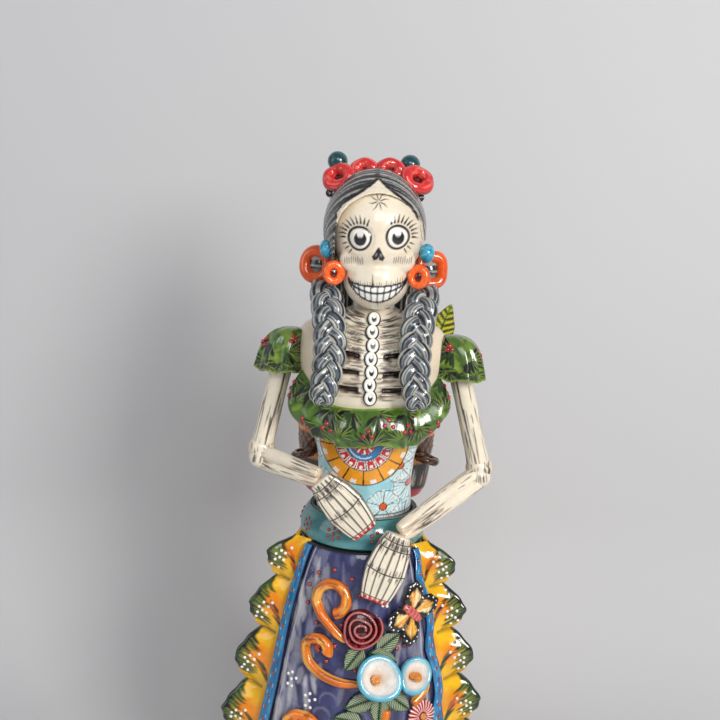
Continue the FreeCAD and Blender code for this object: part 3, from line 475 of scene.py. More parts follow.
BLACK, WHITE = rgb(22, 20, 22), rgb(248, 246, 238)
RUST, NIGHT = rgb(178, 62, 42), rgb(34, 20, 30)
hem, turn_share, section_share = oval_ring("hem_roll", 220, 22, [
    (0, HEM_WIDTH - 6, HEM_DEPTH - 6, 0), (0.4, HEM_WIDTH + 5, HEM_DEPTH + 5, 0),
    (4, HEM_WIDTH + 8.2, HEM_DEPTH + 8.2, 0),
    (11, HEM_WIDTH + 8.6, HEM_DEPTH + 8.6, 0), (19, HEM_WIDTH + 6.5, HEM_DEPTH + 6.5, 0),
    (27, HEM_WIDTH - 2.5, HEM_DEPTH - 2.5, 0), (21, HEM_WIDTH - 9, HEM_DEPTH - 9, 0),
    (8, HEM_WIDTH - 7, HEM_DEPTH - 7, 0)])
paint = ground(len(turn_share), rgb(26, 34, 52))
flat = np.stack([spread(turn_share * 360, 0.0), section_share * 90], 1)
random.seed(7)
for stroke in range(150):
    middle = between(0, spread(360, 0.0))
    level = between(18, 48)
    brush(paint, flat, [(middle, level), (middle + between(12, 26), level + between(-4, 4))], 4.0,
          rgb(60, 84, 110), feather=2, load=0.35)
coat(hem, paint)
close_seams(hem)
GLAZE = painted_glaze("glaze", mottle=0.14, cloud=11.0, crackle=0.10)
fire(hem, "skirt", GLAZE, ["hem_band"])
spots, normals = [], []
for step in range(72):
    turn = math.radians(step * 5 + 2.5)
    normal = np.array([math.sin(turn), -math.cos(turn), 0.12])
    spots.append([(HEM_WIDTH + 8.4) * math.sin(turn), -(HEM_DEPTH + 8.4) * math.cos(turn), 12.5])
    normals.append(normal)
dabs("hem_dabs", spots, normals, 2.0, RUST, "skirt", rim=NIGHT)

# ---------------------------------------------------------------- waistband
# An oval collar of teal clay on the deck. Its hollow is the socket that the upper body stands in.
# Dark lines are drawn along both edges, and sets of seven rust dabs sit on the slope.
SOCKET_WIDTH, SOCKET_DEPTH = 43.4, 36.4
band_rows = [(300.3, SOCKET_WIDTH + 1.5, SOCKET_DEPTH + 1.5, 0), (299.6, 52.5, 47.5, 0),
             (301.5, 55.2, 50.4, 0), (308, 55.9, 50.4, 0),
             (313.5, 55.2, 49.4, 0), (319, 52.9, 46.9, 0), (324, 49.6, 43.4, 0), (325.9, 47.4, 41.0, 0),
             (324.6, SOCKET_WIDTH + 0.4, SOCKET_DEPTH + 0.4, 0),
             (312, SOCKET_WIDTH, SOCKET_DEPTH, 0)]
band, turn_share, section_share = oval_ring("waistband_collar", 240, 60, band_rows)
around = np.degrees(turn_share * 2 * np.pi - np.pi)
flat = np.stack([np.radians(around) * 52, places(band)[:, 2]], 1)
outside = (section_share > 0.1) & (section_share < 0.72)
paint = ground(len(around), rgb(70, 134, 138))
random.seed(11)
for stroke in range(160):
    middle, level = between(-165, 165), between(300, 325)
    brush(paint, flat, [(middle, level), (middle + between(8, 22), level + between(-2, 2))], 5.0,
          random.choice([rgb(96, 160, 160), rgb(46, 104, 116), rgb(110, 160, 150)]), feather=2.5, load=0.4)
wash(paint, np.where((places(band)[:, 2] < 301.8) & outside, 0.95, 0), BLACK)
wash(paint, np.where((section_share > 0.66) & (section_share < 0.71), 0.95, 0), BLACK)
wash(paint, np.where(section_share > 0.8, 1.0, 0), BARE_CLAY)
coat(band, paint)
close_seams(band)
fire(band, "skirt", GLAZE, ["waistband"])


def on_band(degrees, height):
    """A point on the collar's slope, and the way that it faces."""
    turn = math.radians(degrees)
    wide = np.interp(height, [row[0] for row in band_rows[2:8]], [row[1] for row in band_rows[2:8]])
    deep = np.interp(height, [row[0] for row in band_rows[2:8]], [row[2] for row in band_rows[2:8]])
    return [wide * math.sin(turn), -deep * math.cos(turn), height], [math.sin(turn), -math.cos(turn), 0.45]


spots, normals = [], []
for bearing_now, height_now in [(-62, 313), (-27, 313), (14, 312), (50, 313), (88, 312), (124, 313),
                                (160, 312), (-162, 313),
                                (-128, 312), (-96, 313)]:
    for side, rise_now in [(0, 0), (0, 4.6), (0, -4.6), (4.6, 2.4), (4.6, -2.4), (-4.6, 2.4), (-4.6, -2.4)]:
        spot, normal = on_band(bearing_now + math.degrees(side / 50), height_now + rise_now)
        spots.append(spot)
        normals.append(normal)
dabs("waistband_dabs", spots, normals, 1.7, RUST, "skirt", rim=NIGHT)

# ---------------------------------------------------------------- apron
# A thin slab of clay laid over the front of the skirt, brushed with clouded dark blue over white slip, so
# that the brush marks show. It is darker in the middle and pale down the edges.
APRON_EDGE, APRON_HEM, APRON_LIFT = 54.0, 28.0, 3.0
apron, across, up = clay_sheet("apron_slab", 160, 244, lambda a, u: on_skirt(
    (2 * a - 1) * APRON_EDGE, APRON_HEM + u * (deck_height - APRON_HEM),
    APRON_LIFT - 0.3 + 0.3 * np.sin(a * 23) * np.sin(u * 17)))
bearing, height = (2 * across - 1) * APRON_EDGE, APRON_HEM + up * (deck_height - APRON_HEM)
flat = np.stack([spread(bearing, height), height], 1)
paint = ground(len(flat), rgb(60, 64, 112))
random.seed(21)
blues = [(40, 42, 90), (28, 30, 66), (66, 72, 122), (88, 88, 128), (48, 42, 82)]
for stroke in range(420):
    level = between(APRON_HEM, deck_height)
    side = between(-46, 46)
    middle = spread(side, level)
    run = between(14, 40)
    lean = between(-9, 9) + side * 0.12
    brush(paint, flat, [(middle, level), (middle + lean * 0.6, level - run / 2),
                        (middle + lean, level - run)],
          between(5, 12), rgb(*random.choice(blues)), feather=3.0, load=between(0.25, 0.6))
for stroke in range(330):
    level = between(APRON_HEM, deck_height)
    side = random.choice([-1, 1]) * (46 - abs(random.gauss(0, 9))) if stroke % 3 else between(-40, 40)
    side = min(side, 34 + between(0, 11)) if side > 0 else side
    middle = spread(side, level)
    run = between(8, 30)
    pale = rgb(*random.choice([(176, 174, 184), (150, 150, 170), (198, 196, 198), (132, 136, 160)]))
    brush(paint, flat, [(middle, level), (middle + between(-4, 4), level - run)], between(1.6, 6.5), pale,
          feather=2.0, load=between(0.2, 0.75) * (1.0 if side < 0 else 0.7))
for stroke in range(46):
    level, side = between(60, 285), between(-38, 36)
    curl = [(spread(side, level) + 7 * math.cos(k * 0.7), level + 7 * math.sin(k * 0.7)) for k in range(6)]
    brush(paint, flat, curl, between(1.0, 2.2), rgb(160, 160, 180), feather=1.5, load=0.35)
for side in (-1, 1):
    line = [(spread(side * 45.4, level), level) for level in np.linspace(300, 28, 40)]
    brush(paint, flat, line, 1.5, BLACK, land=0.01, lift=0.01)
    line = [(spread(side * 42.6, level) + 0.7 * math.sin(level * 0.11), level) for level in np.linspace(300,
            28, 40)]
    brush(paint, flat, line, 0.9, rgb(215, 212, 210), land=0.01, lift=0.01, load=0.8)
wash(paint, np.clip((height - 297.5) / 1.2, 0, 0.9), BLACK)
coat(apron, paint)
thicken(apron, 2.9)
fire(apron, "skirt", GLAZE, ["apron"])


def lifted(places_on_skirt, lift):
    """Points lifted off the skirt at bearings and heights, and the way that each faces."""
    spots = [[float(k) for k in on_skirt(degrees, level, lift)] for degrees, level in places_on_skirt]
    return spots, [skirt_axes(degrees, level)[2] for degrees, level in places_on_skirt]


snow = []
for bearing_now, height_now in [(-37, 186), (-24, 173), (18, 263), (-31, 88), (24, 108), (-14, 62), (30, 60),
                                (33, 132)]:
    for turn in range(6):
        reach = 5.2 if turn else 0.0
        angle = math.radians(turn * 72 + 20 * (turn % 2))
        snow.append((bearing_now + math.degrees(reach * math.cos(angle) / 90),
                     height_now + reach * 1.15 * math.sin(angle)))
spots, normals = lifted(snow, APRON_LIFT)
dabs("apron_snow", spots, normals, 1.5, WHITE, "skirt")

# ---------------------------------------------------------------- ribbons
# Two thin strips luted over the edges of the apron, bright blue with a dark line along each edge. The left
# one is straight and the right one waves. A string of rust dabs runs down each between white ticks.
RIBBON_IN, RIBBON_OUT, RIBBON_LIFT = 46.0, 53.8, 5.7
for hand, side in (("left", -1), ("right", 1)):
    def ribbon(a, u, side=side):
        height = 28.5 + u * (deck_height - 29.0)
        wave = (0.9 if side < 0 else 3.0) * np.sin(height * (0.05 if side < 0 else 0.105) + side)
        middle = (RIBBON_IN + RIBBON_OUT) / 2 * side + np.degrees(wave / 90)
        edge = np.abs(2 * a - 1)
        half = (RIBBON_OUT - RIBBON_IN) / 2 + (0.5 * np.sin(height * 0.21 + a * 3) if side > 0 else 0.15)
        return on_skirt(middle + (2 * a - 1) * half, height, RIBBON_LIFT - 1.3 * edge ** 5)

    strip, across, up = clay_sheet(f"ribbon_{hand}_strip", 22, 300, ribbon)
    height = 28.5 + up * (deck_height - 29.0)
    flat = np.stack([(2 * across - 1) * 8.5, height], 1)
    paint = ground(len(flat), rgb(30, 122, 178))
    random.seed(31 + side)
    for stroke in range(160):
        level, middle = between(28, 300), between(-7, 7)
        brush(paint, flat, [(middle, level), (middle + between(-1, 1), level - between(6, 18))],
              between(2, 4),
              rgb(*random.choice([(18, 92, 150), (80, 172, 206), (24, 108, 168), (20, 80, 134)])),
              feather=1.6, load=0.45)
    for tick in range(38):
        level = 34 + tick * 7.1
        brush(paint, flat, [(3.4 * (-1) ** tick, level), (3.4 * (-1) ** tick + 0.4, level - 3.2)], 1.1,
              rgb(196, 226, 236), feather=0.9, load=0.85)
    wash(paint, np.clip((np.abs(2 * across - 1) - 0.87) * 14, 0, 1), BLACK)
    coat(strip, paint)
    thicken(strip, 2.4)
    fire(strip, "skirt", GLAZE, [f"ribbon_{hand}"])
    middle_line = lambda level: ((RIBBON_IN + RIBBON_OUT) / 2 * side + math.degrees(
        (0.9 if side < 0 else 3.0) * math.sin(level * (0.05 if side < 0 else 0.105) + side) / 90))
    spots, normals = lifted([(middle_line(level), level) for level in np.arange(38, 296, 10.5)],
                            RIBBON_LIFT - 0.1)
    dabs(f"ribbon_{hand}_dabs", spots, normals, 1.6, RUST, "skirt", rim=NIGHT)

# ---------------------------------------------------------------- flounces
# Scalloped frills of clay down both sides, pinched out by hand to a point at each scallop. Yellow
# glaze runs to
# orange in the hollows; dark green and black strokes comb in from the upper edge, with white dabs
# beside them.
SCALLOPS = {"left": (-70.0, [(288, 0.8), (240, 1.0), (191, 1.0), (139, 1.0), (88, 1.0), (42, 1.0)]),
            "right": (70.0, [(284, 0.74), (244, 0.84), (202, 0.84), (159, 0.84), (116, 0.84), (74, 0.84),
                             (38, 0.84)])}
ORANGE = rgb(238, 112, 14)
for hand, (middle_bearing, scallops) in SCALLOPS.items():
    side = -1 if hand == "left" else 1
    half = [28.5 * share for _, share in scallops]
    top, bottom = 301.0, 16.0
    notches = [top] + [(a[0] + b[0]) / 2 for a, b in zip(scallops, scallops[1:])] + [bottom]

    def reach_at(height):
        """How far the frill stands out at a height, from 0 in a notch to 1 at a point."""
        stand = np.zeros(np.shape(height))
        for (centre, share), over, under in zip(scallops, notches, notches[1:]):
            up_side = np.clip((over - height) / (over - centre - 1), 0, 1)
            low_side = np.clip((height - under) / (centre + 1 - under), 0, 1)
            lobe = np.minimum(up_side ** 0.62, low_side ** 0.70)
            inside = (height <= over) & (height > under)
            stand = np.where(inside, lobe * (1 - 0.10 * lobe ** 6) * (0.86 + 0.14 * share), stand)
        return stand

    def frill(a, u, side=side):
        height = bottom + u * (top - bottom)
        stand = reach_at(height)
        go = a if side > 0 else 1 - a
        stations = np.array([(53.4, -1.0, 0.0), (57, 2.2, 0.05), (62, 3.5, 0.32), (66.5, 5.0, 0.72),
                             (70, 8.6, 1.0),
                             (74.5, 5.0, 0.70), (80, 2.5, 0.30), (86, 1.0, 0.05), (91, -1.5, 0.0)])
        bearing, base, share = along(stations, go).T
        ripple = 1.2 * np.sin(height * 0.55) * share
        shrink = np.clip((top - height) / 6, 0, 1) * np.clip((height - bottom) / 5, 0.2, 1)
        return on_skirt(side * bearing, height - 0.8 * share * stand,
                        base + (21.0 * share * stand + ripple * 0.5) * shrink)

    sheet, across, up = clay_sheet(f"flounce_{hand}_frill", 84, 290, frill)
    height = bottom + up * (top - bottom)
    go = across if side > 0 else 1 - across
    from_rim = np.where(go < 0.5, (0.5 - go) * 84, (go - 0.5) * 84)
    flat = np.stack([from_rim, height], 1)
    paint = ground(len(flat), rgb(250, 190, 14))
    random.seed(40 + side)
    for (centre, share), over, under in zip(scallops, notches, notches[1:]):
        tall = over - under
        brush(paint, flat, [(12, centre + tall * 0.18), (22, centre + 1), (30, centre - tall * 0.1)],
              tall * 0.36, ORANGE, feather=9, load=0.75)
        brush(paint, flat, [(34, over - 4), (38, under + 4)], 9, ORANGE, feather=7, load=0.5)
        rim_line = [(2, over - 1), (1.5, centre + 5), (0.3, centre - 4), (0.2, centre - tall * 0.24)]
        brush(paint, flat, rim_line, 12, DEEP_GREEN, land=0.1, lift=0.6, feather=2.2)
        brush(paint, flat, rim_line[:3], 6.5, LEAF_BLACK, land=0.1, lift=0.7, feather=1.6)
        for stroke in range(12):
            level = centre - tall * 0.22 + stroke * (over - centre + tall * 0.2) / 12 + between(-1, 1)
            length = between(13, 22)
            tone = random.choice([LEAF_BLACK, LEAF_BLACK, DEEP_GREEN, rgb(50, 70, 20)])
            brush(paint, flat, [(1.0, level), (length * 0.5, level - length * 0.30),
                                (length, level - length * 0.52)],
                  between(3.0, 4.6), tone, land=0.15, lift=0.75, feather=1.1)
            brush(paint, flat, [(5, level - 4), (length * 0.9, level - length * 0.6)], 0.8, rgb(150, 160, 60),
                  feather=0.8, load=0.8)
        for stroke in range(6):
            start = (36 - stroke * 1.6, under + 5 + stroke * 2.6)
            brush(paint, flat, [start, (start[0] - between(8, 14), start[1] + between(7, 12))],
                  between(2.0, 3.6),
                  random.choice([LEAF_BLACK, rgb(70, 76, 20), rgb(190, 90, 10)]), land=0.2, lift=0.8,
                  feather=1.2)
        brush(paint, flat, [(2, centre - tall * 0.25), (6, under + 6), (20, under + 2)], 3.2,
              rgb(214, 150, 10), feather=2, load=0.7)
        # Painted shade: a dark olive line in the crease at each notch between scallops.
        wash(paint, np.clip(1 - np.abs(height - under) / 2.2, 0, 1) * 0.8 * (from_rim < 30), rgb(86, 74, 16))
    coat(sheet, paint)
    thicken(sheet, 3.4)
    fire(sheet, "skirt", FLOWER_GLAZE, [f"flounce_{hand}"])
    surface = {"spots": [], "normals": []}
    for (centre, share), over, under in zip(scallops, notches, notches[1:]):
        for across_mm, rise_now in [(-9, 0), (-13, 3), (-12, -3.5), (-17, 0.5), (-16, -6), (-8, -6), (-20, 5),
                                    (-5, -10), (-10, -12)]:
            go_now = 0.5 + across_mm / 84
            level = centre + rise_now - 2 + between(-1, 1)
            here = np.array(frill(np.array([go_now if side > 0 else 1 - go_now]),
                                  np.array([(level - bottom) / (top - bottom)]))).ravel()
            ahead = np.array(frill(np.array([go_now + 0.01 if side > 0 else 0.99 - go_now]),
                                   np.array([(level - bottom) / (top - bottom)]))).ravel()
            higher = np.array(frill(np.array([go_now if side > 0 else 1 - go_now]),
                                    np.array([(level + 1 - bottom) / (top - bottom)]))).ravel()
            facing = np.cross(ahead - here, higher - here) * side
            surface["spots"].append(here)
            surface["normals"].append(facing / np.linalg.norm(facing))
    dabs(f"flounce_{hand}_dabs", surface["spots"], surface["normals"], 1.45, WHITE, "skirt")

# ---------------------------------------------------------------- scrolls and stems
# Finger-rolled ropes of clay curled on the apron, tapered at the free end, and two short flower stems. Orange
# glaze with brown streaks combed along them. A row of rust dabs follows each curl on the apron.
def clay_roll(name, route, facing, thick, sides=20, rings=100, closed=False, oval=1.0):
    """A roll of clay along a smooth line. facing is the way that its upper side looks, thick its radius at
    shares of its run, and oval squeezes it towards the upper side."""
    def shape(a, u):
        share = u if closed else np.clip(u, 1e-3, 1 - 1e-3)
        ahead = along(route, (share + 1e-3) % 1.0 if closed else share + 1e-3, closed) \
            - along(route, (share - 1e-3) % 1.0 if closed else share - 1e-3, closed)
        ahead /= np.linalg.norm(ahead, axis=1)[:, None]
        looks = np.asarray(facing, float)
        looks = np.tile(looks, (len(u), 1)) if looks.ndim == 1 else along(looks, u, closed)
        looks = looks - (looks * ahead).sum(1)[:, None] * ahead
        looks /= np.linalg.norm(looks, axis=1)[:, None]
        side, angle, size = np.cross(ahead, looks), (a * 2 - 1) * np.pi, np.asarray(thick(u))
        return (along(route, u, closed) + (looks * np.cos(angle)[:, None] * oval
                                           + side * np.sin(angle)[:, None]) * size[:, None]).T
    return clay_sheet(name, sides, rings, shape)


def rounded(share, start=0.04, end=0.04):
    """Brings a roll to a round end at both ends of its run."""
    first = np.sqrt(np.clip(1 - (1 - np.clip(share / start, 0, 1)) ** 2, 0, 1)) if start else 1.0
    last = np.sqrt(np.clip(1 - (1 - np.clip((1 - share) / end, 0, 1)) ** 2, 0, 1)) if end else 1.0
    return first * last


def arc(centre, radius, start, end, count=12):
    """Stations of an arc drawn on the skirt, as bearings and heights."""
    turns = np.radians(np.linspace(start, end, count))
    return [(centre[0] + math.degrees(radius * math.cos(turn) / 69),
             centre[1] + radius * math.sin(turn)) for turn in turns]


SCROLL_RADIUS = 4.6
SCROLLS = {
    "scroll_loop": (arc((-18.5, 262), 12.5, -75, 215) + [(-22, 247), (-13, 236), (-6, 228.5)], 1),
    "scroll_hook": (arc((-23.5, 219), 8.5, -25, 180) + [(-27, 207), (-18, 198.5), (-7, 194), (4, 194)], -1),
    "scroll_low": (arc((-26, 151), 9.5, -30, 185) + [(-29, 134), (-18, 122), (-6, 117), (6, 119)], -1)}
BROWN, STRAW = rgb(96, 44, 14), rgb(250, 190, 84)


def streak(paint, flat, girth, run, seed, dark=BROWN, light=STRAW, count=34):
    """Combs dark streaks and pale lights along a roll."""
    random.seed(seed)
    for stroke in range(count):
        at, start = between(-girth / 2, girth / 2), between(0, run)
        length = between(8, 24)
        tone, width = (dark, between(0.9, 1.8)) if stroke % 2 else (light, between(1.5, 3.2))
        brush(paint, flat, [(at, start), (at + between(-1, 1), start + length)], width, tone, feather=0.9,
              load=0.75)


for number, (name, (stations, outer)) in enumerate(SCROLLS.items()):
    route, looks = lifted(stations, 3 + 0.55 * SCROLL_RADIUS)
    if name == "scroll_loop":
        for end in range(1, 4):
            route[-end] = np.array(route[-end]) + looks[-end] * (1.6 if end == 3 else 0.6)
    run = float(np.linalg.norm(np.diff(route, axis=0), axis=1).sum())
    roll, across, up = clay_roll(name + "_roll", route, looks,
                                 lambda u: SCROLL_RADIUS * rounded(u, 0.035, 0.10) * (1.08 - 0.16 * u)
                                 * (1 + 0.03 * np.sin(u * 40)), sides=22, rings=150, oval=0.92)
    flat = np.stack([(across - 0.5) * 2 * np.pi * SCROLL_RADIUS, up * run], 1)
    paint = ground(len(flat), rgb(238, 120, 20))
    streak(paint, flat, 22, run, 60 + number, count=64)
    # Painted shade: brown darkens the underside of each roll, where it lies against the apron.
    wash(paint, np.clip((np.abs(across - 0.5) - 0.27) * 7, 0, 0.85), BROWN)
    coat(roll, paint)
    close_seams(roll)
    fire(roll, "skirt", FLOWER_GLAZE, [name])
    flat_route = np.array([(spread(d, h), h) for d, h in stations])
    steps = np.linspace(0.03, 0.97, int(run / 10.5))
    ahead = along(flat_route, np.clip(steps + 0.01, 0, 1)) - along(flat_route, steps - 0.01)
    ahead /= np.linalg.norm(ahead, axis=1)[:, None]
    row = along(flat_route, steps) + outer * np.stack([ahead[:, 1], -ahead[:, 0]], 1) * 10.5
    row = [(math.degrees(x / (spread(1.0, level) / math.radians(1.0))), level) for x, level in row]
    row = [(degrees, level) for degrees, level in row if abs(degrees) < 43]
    spots, normals = lifted(row, APRON_LIFT)
    dabs(name + "_dabs", spots, normals, 2.05, RUST, "skirt", rim=NIGHT)
spare = [(22, 230), (25, 226), (28, 230), (24.5, 221), (29, 223), (21, 223), (-20, 68), (-12, 70), (-16, 64),
         (20, 72), (26, 70), (23, 64),
         (36, 122), (39, 116), (34, 112), (-38, 118), (-39, 106)]
spots, normals = lifted(spare, APRON_LIFT)
dabs("apron_rust_dabs", spots, normals, 2.05, RUST, "skirt", rim=NIGHT)

for number, stations in enumerate(([(40, 190), (40.5, 185), (37, 178.5), (31, 172.5)],
                                   [(17, 172), (15, 160), (8, 146), (9, 130)])):
    route, looks = lifted(stations, 3 + 0.55 * 4.14)
    stem, across, up = clay_roll(f"stem_{number}", route, looks, lambda u: 4.2 * rounded(u, 0.12, 0.12),
                                 rings=50, oval=0.92)
    paint = ground(len(up), rgb(238, 126, 26))
    streak(paint, np.stack([(across - 0.5) * 26, up * 40], 1), 22, 40, 70 + number, count=24)
    coat(stem, paint)
    close_seams(stem)
    fire(stem, "skirt", FLOWER_GLAZE, ["stems"])

# ---------------------------------------------------------------- leaves
# Thin leaves cut from a slab, creased down the middle and pressed on with the tip lifted. Dark green glaze,
# with pale hatching combed out from the crease.
LEAF_GREEN, PALE_GREEN = rgb(46, 84, 30), rgb(206, 222, 180)


def clay_leaf(name, foot, aim, out, length, width, wall=2.2, columns=20, rows=44, lift=3.0, hatch=12,
              tones=None):
    """A creased leaf from its foot along aim, facing out, painted and thickened."""
    aim, out = np.asarray(aim, float), np.asarray(out, float)
    aim = unit(aim)
    out = out - out @ aim * aim
    out = unit(out)
    side = np.cross(aim, out)

    def shape(a, u):
        half = width / 2 * np.sin(np.pi * np.clip(u, 0.012, 0.988) ** 0.85) ** 0.8
        x = (2 * a - 1) * half * (1 + 0.05 * np.sin(u * 34))
        rise = 1.3 * np.abs(2 * a - 1) ** 0.7 * np.sin(np.pi
                * u) - 0.12 * x ** 2 / width + lift * u ** 2 * 0.6
        return (np.asarray(foot) + np.outer(u * length, aim) + np.outer(x, side) + np.outer(rise, out)).T

    blade, across, up = clay_sheet(name, columns, rows, shape)
    half = width / 2 * np.sin(np.pi * np.clip(up, 0.012, 0.988) ** 0.85) ** 0.8
    flat = np.stack([(2 * across - 1) * half, up * length], 1)
    green, pale = tones or (LEAF_GREEN, PALE_GREEN)
    paint = ground(len(up), green)
    for vein in range(hatch):
        start = length * (vein + 0.5) / hatch
        for way in (-1, 1):
            tip = (way * width / 2, start + width * 0.42)
            brush(paint, flat, [(way * 0.6, start), tip], length / hatch * 0.62, LEAF_BLACK, feather=0.6,
                  load=0.85)
            brush(paint, flat, [(way * 0.9, start + length / hatch * 0.45),
                                (tip[0], tip[1] + length / hatch * 0.45)],
                  length / hatch * 0.34, pale, feather=0.5, load=0.9)
    brush(paint, flat, [(0, 0), (0, length)], 0.9, LEAF_BLACK, land=0.02, lift=0.3)
    wash(paint, np.clip((np.abs(2 * across - 1) - 0.86) * 6, 0, 0.8), DEEP_GREEN)
    coat(blade, paint)
    thicken(blade, wall)
    return blade


def join(name, pieces):
    """Luted pieces as one piece."""
    bpy.ops.object.select_all(action="DESELECT")
    for piece in pieces:
        piece.select_set(True)
    bpy.context.view_layer.objects.active = pieces[0]
    bpy.ops.object.join()
    joined = bpy.context.object
    joined.name = name
    return joined


def skirt_way(degrees, height, turn):
    """A direction along the skirt: turn 0 is to its left as worn, 90 is up."""
    across, up, out = skirt_axes(degrees, height)
    return across * math.cos(math.radians(turn)) + up * math.sin(math.radians(turn)), out


LEAVES = {"rose_leaves": [(-1, 216, 235), (18, 228.5, 35), (15, 216, -20)],
          "lily_leaves": [(3, 178, 200), (13, 173, 265), (23, 178, 320), (-2, 163, 170)]}
for name, leaves in LEAVES.items():
    blades = []
    for number, (degrees, level, turn) in enumerate(leaves):
        aim, out = skirt_way(degrees, level, turn)
        middle = np.array([float(k) for k in on_skirt(degrees, level, APRON_LIFT + 2.4)])
        blades.append(clay_leaf(f"{name}_{number}", middle - aim * 12.8, aim, out, 25.5, 16.5))
    blade = join(name + "_blades", blades)
    fire(blade, "skirt", FLOWER_GLAZE, [name])

# ---------------------------------------------------------------- rose
# A strip of clay rolled up into a rose, its upper edge pinched thin and turned out. Dark red glaze that
# has run thin and pink along the edges.
rose_across, rose_up, rose_out = skirt_axes(2, 240)
rose_seat = np.array([float(k) for k in on_skirt(2, 240, 1.0)])
ROSE_RADIUS, ROSE_HEIGHT, ROSE_TURNS = 17.4, 12.0, 3.1


def rose_strip(a, u):
    turn = (1 - a) ** 0.82 * ROSE_TURNS * 2 * np.pi
    reach = 1.6 + (ROSE_RADIUS - 4.6) * ((1 - a) ** 0.9) + 0.5 * np.sin(turn * 2.3)
    flare_out = u ** 2 * (1.0 + 2.4 * (1 - a)) * (1 + 0.25 * np.sin(turn * 3.1))
    rise = u * (ROSE_HEIGHT + 1.5 - 4.2 * (1 - a)) + 0.5 * np.sin(turn * 2.7) * u
    x, y = (reach + flare_out) * np.cos(turn), (reach + flare_out) * np.sin(turn)
    return (rose_seat + np.outer(x, rose_across) + np.outer(y, rose_up) + np.outer(rise, rose_out)).T


strip, across, up = clay_sheet("rose_strip", 260, 22, rose_strip)
flat = np.stack([across * 190, up * 13], 1)
paint = ground(len(up), rgb(126, 26, 38))
random.seed(81)
for stroke in range(220):
    middle = between(0, 190)
    brush(paint, flat, [(middle, 12), (middle + between(-2, 2), between(2, 8))], between(0.9, 2.0),
          rgb(*random.choice([(160, 44, 54), (66, 10, 20), (196, 92, 96), (96, 16, 28)])), feather=0.8,
          load=0.6)
wash(paint, np.clip((up - 0.86) * 6, 0, 0.75), rgb(206, 118, 116))
# Painted shade: the strip darkens towards its base, deep between the coils.
wash(paint, np.clip((0.55 - up) * 2.2, 0, 0.9), rgb(50, 8, 16))
coat(strip, paint)
thicken(strip, 1.7)
bpy.ops.object.select_all(action="DESELECT")
bpy.ops.mesh.primitive_uv_sphere_add(segments=48, ring_count=24, radius=1.0)
cup = bpy.context.object
cup_points = places(cup) * MM * [ROSE_RADIUS - 1.2, ROSE_RADIUS - 1.2, 6.0]
move_to(cup, rose_seat + cup_points @ np.stack([rose_across, rose_up, rose_out]))
# Painted shade: the cup under the coils is dark red.
coat(cup, ground(len(cup_points), rgb(74, 12, 22)))
rose = join("rose_bloom", [strip, cup])
fire(rose, "skirt", FLOWER_GLAZE, ["rose"])

# ---------------------------------------------------------------- daisies
# Flat flowers with many narrow petals scored into a disc of clay, striped rose-red and white, with a
# dabbed yellow middle.
for name, degrees, level in (("daisy_right", 36, 161), ("daisy_low", -4, 92)):
    flower_across, flower_up, flower_out = skirt_axes(degrees, level)
    seat = np.array([float(k) for k in on_skirt(degrees, level, 3.0)])

    def disc(a, u):
        turn, petals = -a * 2 * np.pi, 22
        scallop = np.abs(np.cos(petals * turn / 2))
        spread_out = np.interp(u, [0, 0.86, 0.93, 1], [0, 1, 0.93, 0])
        reach = 13.8 * spread_out * (1 - 0.14 * (1 - scallop) * np.clip(u * 1.4, 0, 1))
        rise = np.interp(u, [0, 0.16, 0.3, 0.55, 0.86, 0.93, 1], [7.2, 6.8, 5.0, 5.6, 3.4, 1.2, 0.2])
        rise = rise + 1.0 * scallop * np.clip((u - 0.24) * 4, 0, 1) * (u < 0.9)
        return (seat + np.outer(reach * np.cos(turn), flower_across)
                + np.outer(reach * np.sin(turn), flower_up)
                + np.outer(rise, flower_out)).T

    flower, across, up = clay_sheet(name + "_disc", 264, 44, disc)
    stripe = np.abs(np.cos(22 * across * np.pi))
    paint = ground(len(up), rgb(204, 62, 62))
    wash(paint, np.clip((stripe - 0.72) * 8, 0, 0.9) * (up > 0.26), rgb(244, 214, 204))
    wash(paint, np.clip((0.30 - stripe) * 6, 0, 0.9) * (up > 0.26), rgb(96, 14, 20))
    wash(paint, (up < 0.25) * 1.0, rgb(120, 24, 24))
    wash(paint, (up < 0.16) * 0.9, rgb(226, 150, 40))
    coat(flower, paint)
    close_seams(flower)
    fire(flower, "skirt", FLOWER_GLAZE, [name])

# ---------------------------------------------------------------- butterfly
# Four pinched wings round a small pill of clay beside the hand. Black wings with straw-yellow
# strokes and white
# dabs round the rim; the body is pink with red rings.
def lump(name, at, axes, radii, detail=4):
    """A ball of clay pressed to three radii along axes. Also gives each point's place in the ball."""
    bpy.ops.object.select_all(action="DESELECT")
    bpy.ops.mesh.primitive_ico_sphere_add(subdivisions=detail, radius=1.0)
    ball = bpy.context.object
    ball.name = name
    local = places(ball) * MM
    move_to(ball, np.asarray(at, float) + (local * radii) @ np.asarray(axes, float))
    return ball, local


